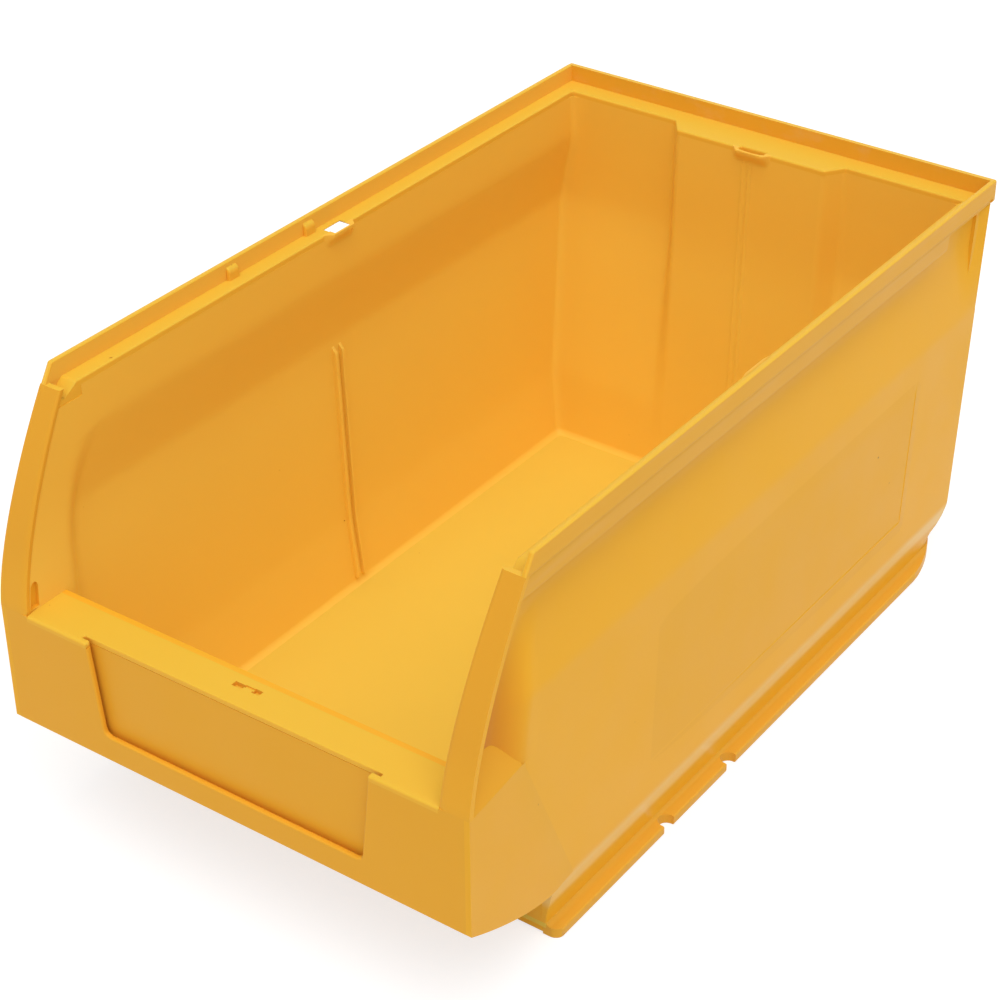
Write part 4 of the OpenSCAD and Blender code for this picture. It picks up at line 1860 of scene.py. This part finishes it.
@dataclass
class RearRim:
    """Rear ledge, rear rim and the rear divider seat."""

    mould: Mould
    slot: Point2 = (-5.4, 8.2)
    slot_back: float = 2.3
    slot_lift: float = 0.2
    slot_bow: float = 1.1
    slot_step: float = 1.2
    stand: float = 3.2
    lip: float = 1.2
    rim_lap: float = 0.5
    collar_run: float = 7.0
    collar_seam: float = 0.3

    def slot_outline(self) -> list[Point2]:
        """Outline of the slot, bowed towards the cavity.

        Returns:
            Its corners as X and Y.
        """
        m = self.mould
        lo, hi = self.slot
        middle, half = (lo + hi) / 2.0, (hi - lo) / 2.0
        near, far = m.rear_mid - self.stand + self.lip, m.rear_mid + self.slot_back
        bow = [(x, near + self.slot_bow * abs((x - middle) / half) ** 3)
               for x in spread(lo, hi, self.slot_step)]
        return bow + [(hi, far), (lo, far)]

    def build(self) -> list[bpy.types.Object]:
        """Builds the three regions.

        Returns:
            Their objects.
        """
        m = self.mould
        half = [(m.rim_in, m.fin_y + self.rim_lap), (m.rim_in, m.join_y), (m.ledge_in, m.join_y),
                (m.ledge_in, m.rear_in), (m.half_top, m.rear_in), (m.half_low, m.rear_mid)]
        ledge = Piece("rear_stacking_ledge", ("rear_ledge",), Finish.INNER)
        ledge.sweep(Axis.Z, m.under_z, m.ledge_z, half + [(-x, y) for x, y in half[::-1]])
        ledge.cut(Axis.Z, m.under_z - 1.0, m.height, self.slot_outline())

        def seam(a: Vector, b: Vector) -> bool:
            """Edges against the rims, the side ledges and the wall under the ledge.

            Args:
                a: one end of the edge.
                b: its other end.

            Returns:
                Whether it is one of them.
            """
            side = max(abs(a.y - m.join_y), abs(b.y - m.join_y)) < NEAR
            return (side or max(a.z, b.z) < m.under_z + NEAR or min(a.y, b.y) > m.fin_y - NEAR
                    or min(abs(a.x), abs(b.x)) > m.ledge_in + NEAR)

        made = [ledge.make(0.9, seam, limit=20.0)]

        rim = Piece("rear_upstand_rim", ("rear_rim",), Finish.RUBBED_AND_GLINTING)
        rim.sweep(Axis.Y, m.fin_y, m.hy, [(-m.hx, m.under_z), (m.hx, m.under_z),
                                          (m.hx, m.height), (-m.hx, m.height)])
        rim.highlight_edges(m.height - 0.5)
        made.append(rim.make(1.0, lambda a, b: max(a.y, b.y) < m.fin_y + NEAR
                             and min(abs(a.x), abs(b.x)) > m.rim_in - NEAR))

        seat = Piece("rear_divider_collar", ("rear_divider_seat",), Finish.CAVITY)
        middle = (self.slot[0] + self.slot[1]) / 2.0
        collar = Collar(self.slot[1] - self.slot[0] + self.collar_run, self.stand)
        grids = collar.grids(low("rear_divider_seat").z, m.ledge_z)
        seat.skin_pair(*([[(middle + s, min(m.rear_mid, m.rear_mid_y(z)) - d, z)
                           for s, d, z in row] for row in grid] for grid in grids))
        seat.cut(Axis.Z, m.under_z + self.slot_lift, m.height, self.slot_outline())
        made.append(seat.make(0.4, lambda a, b: min(a.y, b.y) > m.rear_mid - self.collar_seam))
        return made


@dataclass
class StackingNubs:
    """Small rounded stops on the inside of the side rims."""

    mould: Mould
    length: float = 6.4
    stand: float = 2.0
    sink: float = 0.2
    lap: float = 0.3
    top_set: float = 0.7
    crown: float = 1.0
    slope: float = 2.2

    def build(self) -> bpy.types.Object:
        """Builds all four stops as soft-topped bumps.

        Returns:
            Their object.
        """
        m = self.mould
        lo, hi = low("stacking_nubs"), high("stacking_nubs")
        piece = Piece("stacking_stop_nubs", ("stacking_nubs",), Finish.INNER)
        x0, x1, foot = m.rim_in - self.stand, m.rim_in + self.lap, m.ledge_z - self.sink
        for s in (-1.0, 1.0):
            for y in (lo.y, hi.y - self.length):
                piece.sweep(Axis.Y, y, y + self.length, [
                    (s * x0, foot), (s * x1, foot), (s * x1, hi.z),
                    (s * (x0 + self.top_set), hi.z - self.crown), (s * x0, hi.z - self.slope)])
        return piece.make(0.75, lambda a, b: max(a.z, b.z) < m.ledge_z)


# ---- the base


@dataclass
class Base:
    """Floor, the two foot rails with their notches, and the front and rear feet."""

    mould: Mould
    lip_t: float = 4.6
    lip_edge: float = 0.8
    lip_round: float = 0.25
    rail_t: float = 1.5
    base_r: float = 80.0
    base_run: float = 13.5
    bend_stop: float = 0.19
    bend_step: float = 0.02
    nub_l: float = 6.4
    nub_play: float = 0.7
    nub_set: float = 1.2
    notch_sides: int = 40
    foot_t: float = 3.5
    shelf_skin: float = 9.0
    fillet: tuple[Point2, ...] = ((1.3, 0.15), (0.5, 0.6))

    def step(self) -> list[Point2]:
        """Step from the lip up to the floor's edge, with its fillet.

        Returns:
            Its points as X and Z.
        """
        m, t = self.mould, self.lip_t
        fillet = [(m.pan_x + out, t + up) for out, up in self.fillet]
        return [(m.pan_x + m.wall, t), *fillet, (m.pan_x, m.floor_z)]

    def floor(self) -> bpy.types.Object:
        """Builds the floor panel, which runs under the fillets of the walls.

        Returns:
            Its object.
        """
        m = self.mould
        x = m.pan_x
        piece = Piece("floor_pan", ("floor_panel",), Finish.FLOOR)
        piece.sweep(Axis.Z, m.pan_z, m.floor_z, [(-x, m.foot_y), (x, m.foot_y),
                                                 (x, m.pan_rear), (-x, m.pan_rear)])
        return piece.make(0.0)

    def rail(self, side: Side) -> bpy.types.Object:
        """Builds one foot rail with its outward lip.

        Args:
            side: side of the rail.

        Returns:
            Its object.
        """
        m = self.mould
        rx = high("right_foot_rail").x
        rear = high("right_foot_rail").y
        t, e, r = self.lip_t, self.lip_edge, self.lip_round
        name = side.label
        piece = Piece(f"{name}_rail_with_lip", (f"{name}_foot_rail",), Finish.FOOT, side)
        piece.sweep(Axis.Y, m.foot_y, rear, [
            (m.pan_x - self.rail_t, 0.0), (rx - e, 0.0), (rx - r, r), (rx, e), (rx, t - e),
            (rx - r, t - r), (rx - e, t), *self.step(), (m.pan_x, m.pan_z),
            (m.pan_x - self.rail_t, m.pan_z)])
        lo, hi = low("stacking_nubs"), high("stacking_nubs")
        radius = self.nub_l / 2.0 + self.nub_play
        turns = [math.tau * k / self.notch_sides for k in range(self.notch_sides)]
        for y in (lo.y + self.nub_l / 2.0, hi.y - self.nub_l / 2.0):
            piece.cut(Axis.Z, -1.0, t + 1.0, [
                (rx - self.nub_set + radius * math.cos(a), y + radius * math.sin(a))
                for a in turns])
        corner = [(rx + 1.0, m.foot_y - 1.0), (rx + 1.0, m.foot_y + t)]
        corner += [(rx - t + t * math.cos(math.radians(a)), m.foot_y + t - t * math.sin(
            math.radians(a))) for a in range(0, 91, 9)]
        corner += [(rx - t, m.foot_y - 1.0)]
        piece.cut(Axis.Z, -1.0, t + 1.0, corner)
        bend = [(rx - self.base_r * (1.0 - math.cos(a)), rear - self.base_run
                 + self.base_r * math.sin(a))
                for a in spread(0.0, self.bend_stop, self.bend_step)]
        piece.cut(Axis.Z, -1.0, t + 1.0, bend + [(rx + 2.0, bend[-1][1]), (rx + 2.0, bend[0][1])])
        return piece.make(0.35, lambda a, b: max(a.x, b.x) < m.pan_x + NEAR
                          or min(a.y, b.y) > rear - NEAR, limit=50.0, steps=2)

    def front_foot(self) -> bpy.types.Object:
        """Builds the foot across the front.

        Returns:
            Its object.
        """
        m = self.mould
        piece = Piece("front_foot_bar", ("front_foot",), Finish.SATIN)
        back = m.foot_y + self.foot_t
        piece.sweep(Axis.X, self.rail_t - m.pan_x, m.pan_x - self.rail_t, [
            (m.foot_y + 1.0, 0.0), (back, 0.0), (back, m.pan_z), (m.foot_y, m.pan_z),
            (m.foot_y, 1.0)])
        return piece.make(0.4)

    def plan(self, x: float, start: float, stop: float) -> list[Point2]:
        """Outline of the base behind the rear wall, with its broad corners.

        Args:
            x: half the width between which it is held.
            start: its front edge.
            stop: its rear edge.

        Returns:
            Corners as X and Y.
        """
        m = self.mould
        rx = high("right_foot_rail").x
        centre = (rx - self.base_r, high("right_foot_rail").y - self.base_run)
        right = []
        for degrees in spread(0.0, 60.0, 0.5):
            a = math.radians(degrees)
            px = min(x, centre[0] + self.base_r * math.cos(a))
            py = min(stop, centre[1] + self.base_r * math.sin(a))
            if py >= start and (not right or (px, py) != right[-1]):
                right.append((px, py))
            if py == stop:
                break
        right.insert(0, (right[0][0], start))
        return right + [(-px, py) for px, py in reversed(right)]

    def rear_foot(self) -> bpy.types.Object:
        """Builds the shelf of the base behind the rear wall, open underneath.

        Returns:
            Its object.
        """
        m = self.mould
        start = high("right_foot_rail").y
        stop = high("rear_foot").y
        rx = high("right_foot_rail").x
        piece = Piece("rear_base_shelf", ("rear_foot",), Finish.FOOT)
        levels = [(rx, 0.0), (rx, self.lip_t), *self.step()]
        piece.rings([[piece.mesh.verts.new((px * MM, py * MM, z * MM))
                      for px, py in self.plan(x, start, stop)] for x, z in levels])
        piece.box_cut((-m.pan_x, m.pan_x), (0.0, m.pan_rear), (m.pan_z, m.floor_z + 1.0))
        half = m.pan_x - self.shelf_skin
        piece.box_cut((-half, half), (start - 1.0, stop - m.pan_z), (-1.0, m.pan_z))

        def seam(a: Vector, b: Vector) -> bool:
            """Edges against the rails and along the foot of the step.

            Args:
                a: one end of the edge.
                b: its other end.

            Returns:
                Whether it is one of them.
            """
            top = self.lip_t + self.fillet[-1][1]
            step = self.lip_t - NEAR < min(a.z, b.z) and max(a.z, b.z) < top + NEAR
            inward = max(abs(a.x), abs(b.x)) < m.pan_x + m.wall + NEAR
            return max(a.y, b.y) < start + NEAR or (step and inward)

        return piece.make(0.35, seam, limit=50.0, steps=2)

    def build(self) -> list[bpy.types.Object]:
        """Builds floor, rails and feet, and returns their objects."""
        return [self.floor(), self.rail(Side.RIGHT), self.rail(Side.LEFT), self.front_foot(),
                self.rear_foot()]


@dataclass
class SideFittings:
    """Divider ribs inside one side wall and the raised pad outside."""

    mould: Mould
    side: Side
    rib_h: float = 2.2
    rib_t: float = 1.8
    rib_root: float = 0.5
    rib_foot: float = 2.0
    rib_head: float = 3.0
    rib_tip: Point2 = (0.1, 0.3)
    pad_t: float = 0.34
    pad_rear: float = 6.0
    pad_foot: float = 8.5
    pad_top: float = 9.0
    pad_run: float = 12.0
    pad_row: float = 7.0
    pad_margin: Point2 = (3.0, 4.0)
    pad_fade: float = 1.15
    pad_root: float = 0.4
    pad_sink: float = 0.03
    groove: float = 0.7
    groove_share: float = 0.6

    def build(self) -> list[bpy.types.Object]:
        """Builds ribs and pad.

        Returns:
            Their objects.
        """
        m = self.mould
        name = self.side.label
        node = low("right_divider_ribs"), high("right_divider_ribs")
        z0, z1 = node[0].z, node[1].z
        heights = [z0] + [z for z in m.rows(m.under_z)
                          if z0 + self.rib_foot < z < z1 - self.rib_head]
        ribs = Piece(f"{name}_divider_rib_pair", (f"{name}_divider_ribs",), Finish.CAVITY,
                     self.side)
        for y in (node[0].y, node[1].y - self.rib_t):
            outline = [(m.bulge_in(z) + self.rib_root, z) for z in heights + [z1]]
            outline += [(m.bulge_in(z1) - self.rib_tip[0], z1),
                        (m.bulge_in(z1) - self.rib_h + self.rib_tip[1], z1 - self.rib_h)]
            outline += [(m.bulge_in(z) - self.rib_h, z) for z in reversed(heights)]
            ribs.sweep(Axis.Y, y, y + self.rib_t, outline)
        made = [ribs.make(0.6)]

        lo, hi = low("right_side_pad"), high("right_side_pad")
        pad = Piece(f"{name}_raised_pad", (f"{name}_side_pad",), Finish.SATIN, self.side)
        line_y, line_z = hi.y - self.pad_rear, lo.z + self.pad_foot
        marks = (-self.groove, -self.groove / 2.0, self.groove / 2.0, self.groove)
        along, up = self.pad_margin
        ys = spread(lo.y, line_y - along, self.pad_run)
        ys += [line_y + d for d in marks] + [line_y + along, hi.y]
        zs = [lo.z, line_z - up] + [line_z + d for d in marks]
        zs += spread(line_z + up, hi.z - self.pad_top, self.pad_row)
        zs += [hi.z - 6.0, hi.z - 3.0, hi.z]

        def lift(y: float, z: float) -> float:
            """How far the pad stands out, with the fine groove along its rear and foot.

            Args:
                y: place along the wall.
                z: the height.

            Returns:
                The distance from the wall.
            """
            beyond = max(y - line_y, line_z - z)
            if abs(beyond) < self.groove * self.groove_share:
                return 0.0
            fade = smooth((y - lo.y) / (hi.y - lo.y) * self.pad_fade)
            fade *= 1.0 - smooth((z - hi.z) / self.pad_top + 1.0)
            return self.pad_t * fade * (1.0 - smooth(beyond / min(self.pad_rear, self.pad_foot)))

        pad.skin_pair([[(m.bulge_out(z) - self.pad_root, y, z) for y in ys] for z in zs],
                      [[(m.bulge_out(z) - self.pad_sink + lift(y, z), y, z) for y in ys]
                       for z in zs])
        made.append(pad.make(0.0, limit=20.0))
        return made


# ---- the studio


@dataclass(frozen=True)
class Softbox:
    """Large soft lamp, far enough away to light the set evenly.

    Args:
        name: its name.
        toward: direction from the bin to the lamp.
        breadth: how broad it looks from the bin, in degrees.
        level: brightness that it gives a white surface which faces it.
        away: where its object stands along that direction, in metres.
    """

    name: str
    toward: Point3
    breadth: float
    level: float
    away: float = 2.0

    def build(self) -> None:
        """Hangs the lamp."""
        data = bpy.data.lights.new(self.name, "SUN")
        data.angle = math.radians(self.breadth)
        data.energy = self.level * math.pi
        obj = bpy.data.objects.new(self.name, data)
        obj.rotation_euler = Vector(self.toward).to_track_quat("Z", "Y").to_euler()
        obj.location = Vector(self.toward).normalized() * self.away
        bpy.context.scene.collection.objects.link(obj)


@dataclass(frozen=True)
class Studio:
    """White floor, soft light from above and round about, and the camera.

    Args:
        floor_size: edge of the square floor, in metres.
        floor_plain: grey of the floor as it lights the bin.
        floor_pale: grey of the floor as it is seen, with its shadow.
        floor_glow: light of its own that the seen floor has.
        sky: strength of the light from round about.
        lamps: the softboxes.
        stand: where the camera stands, in metres.
        turn: turn, tilt and roll of the camera, in degrees.
    """

    floor_size: float = 14.0
    floor_plain: float = 0.74
    floor_pale: float = 0.42
    floor_glow: float = 0.70
    sky: float = 0.58
    lamps: tuple[Softbox, ...] = (Softbox("overhead_softbox", (0.28, -0.30, 1.0), 50.0, 0.485),
                                  Softbox("side_softbox", (1.0, -0.8, 0.5), 60.0, 0.03))
    stand: Point3 = (0.5078, -0.7234, 0.66735)
    turn: Point3 = (34.11, 32.61, 0.51)

    def floor(self) -> None:
        """Lays the white floor, which keeps the shadow."""
        mesh = bmesh.new()
        bmesh.ops.create_grid(mesh, x_segments=4, y_segments=4, size=self.floor_size / 2.0)
        bmesh.ops.translate(mesh, verts=mesh.verts[:], vec=(0.0, 0.0, -0.0002))
        data = bpy.data.meshes.new("studio_floor")
        mesh.to_mesh(data)
        mesh.free()
        obj = bpy.data.objects.new("studio_floor", data)
        bpy.context.scene.collection.objects.link(obj)
        mat = bpy.data.materials.new("white_floor")
        mat.use_nodes = True
        tree = mat.node_tree
        tree.nodes.clear()
        plain, pale = (add_node(tree, "ShaderNodeBsdfDiffuse", {"Color": (g, g, g, 1.0)})
                       for g in (self.floor_plain, self.floor_pale))
        glow = add_node(tree, "ShaderNodeEmission", {
            "Color": (1.0, 1.0, 1.0, 1.0), "Strength": self.floor_glow})
        both = add_node(tree, "ShaderNodeAddShader", {0: pale.outputs[0], 1: glow.outputs[0]})
        add_node(tree, "ShaderNodeOutputMaterial", {"Surface": self._seen(tree, plain, both)})
        data.materials.append(mat)

    def _seen(self, tree: Tree, lighting: Node,
              seen: Node) -> Socket:
        """Lights the bin with one shader and shows another one.

        Args:
            tree: node tree that gets the nodes.
            lighting: shader that lights the bin.
            seen: shader that the camera, a reflection or a clear part shows.

        Returns:
            The socket with both.
        """
        path = add_node(tree, "ShaderNodeLightPath", {})
        share = path.outputs["Is Camera Ray"]
        for ray in ("Is Glossy Ray", "Is Transmission Ray"):
            share = add_node(tree, "ShaderNodeMath", {0: share, 1: path.outputs[ray]},
                             operation="MAXIMUM").outputs[0]
        return add_node(tree, "ShaderNodeMixShader", {
            0: share, 1: lighting.outputs[0], 2: seen.outputs[0]}).outputs[0]

    def sky_light(self) -> None:
        """Sets the even white surroundings."""
        world = bpy.data.worlds.new("studio_surroundings")
        bpy.context.scene.world = world
        world.use_nodes = True
        tree = world.node_tree
        tree.nodes.clear()
        soft, white = (add_node(tree, "ShaderNodeBackground", {
            "Color": (1.0, 1.0, 1.0, 1.0), "Strength": strength}) for strength in (self.sky, 1.0))
        add_node(tree, "ShaderNodeOutputWorld", {"Surface": self._seen(tree, soft, white)})

    def camera(self) -> None:
        """Sets up the camera, high and to the right of the front."""
        data = bpy.data.cameras.new("bin_camera")
        data.sensor_width = 36.0
        data.lens = 87.34
        data.shift_x, data.shift_y = -0.0629, -0.0169
        data.clip_start, data.clip_end = 0.01, 60.0
        obj = bpy.data.objects.new("bin_camera", data)
        turn, tilt, roll = (math.radians(a) for a in self.turn)
        back = Vector((math.sin(turn) * math.cos(tilt), -math.cos(turn) * math.cos(tilt),
                       math.sin(tilt)))
        rest = (-back).to_track_quat("-Z", "Y").to_matrix()
        obj.matrix_world = Matrix.Translation(self.stand) @ (
            rest @ Matrix.Rotation(roll, 3, "Z")).to_4x4()
        bpy.context.scene.collection.objects.link(obj)
        bpy.context.scene.camera = obj

    def build(self) -> None:
        """Sets floor, light and camera."""
        self.floor()
        self.sky_light()
        for lamp in self.lamps:
            lamp.build()
        self.camera()
        bpy.context.scene.view_settings.view_transform = "Standard"


def main() -> None:
    """Builds every region of the bin in order and lights it."""
    logging.basicConfig(level=logging.INFO, format="%(message)s")
    mould = Mould()
    for side in (Side.RIGHT, Side.LEFT):
        SideShell(mould, side).build()
        FrontCorner(mould, side).build()
        SideRim(mould, side).build()
        SideFittings(mould, side).build()
    RearWall(mould).build()
    FrontPanel(mould).build()
    RearRim(mould).build()
    StackingNubs(mould).build()
    Base(mould).build()
    Studio().build()


if __name__ == "__main__":
    main()
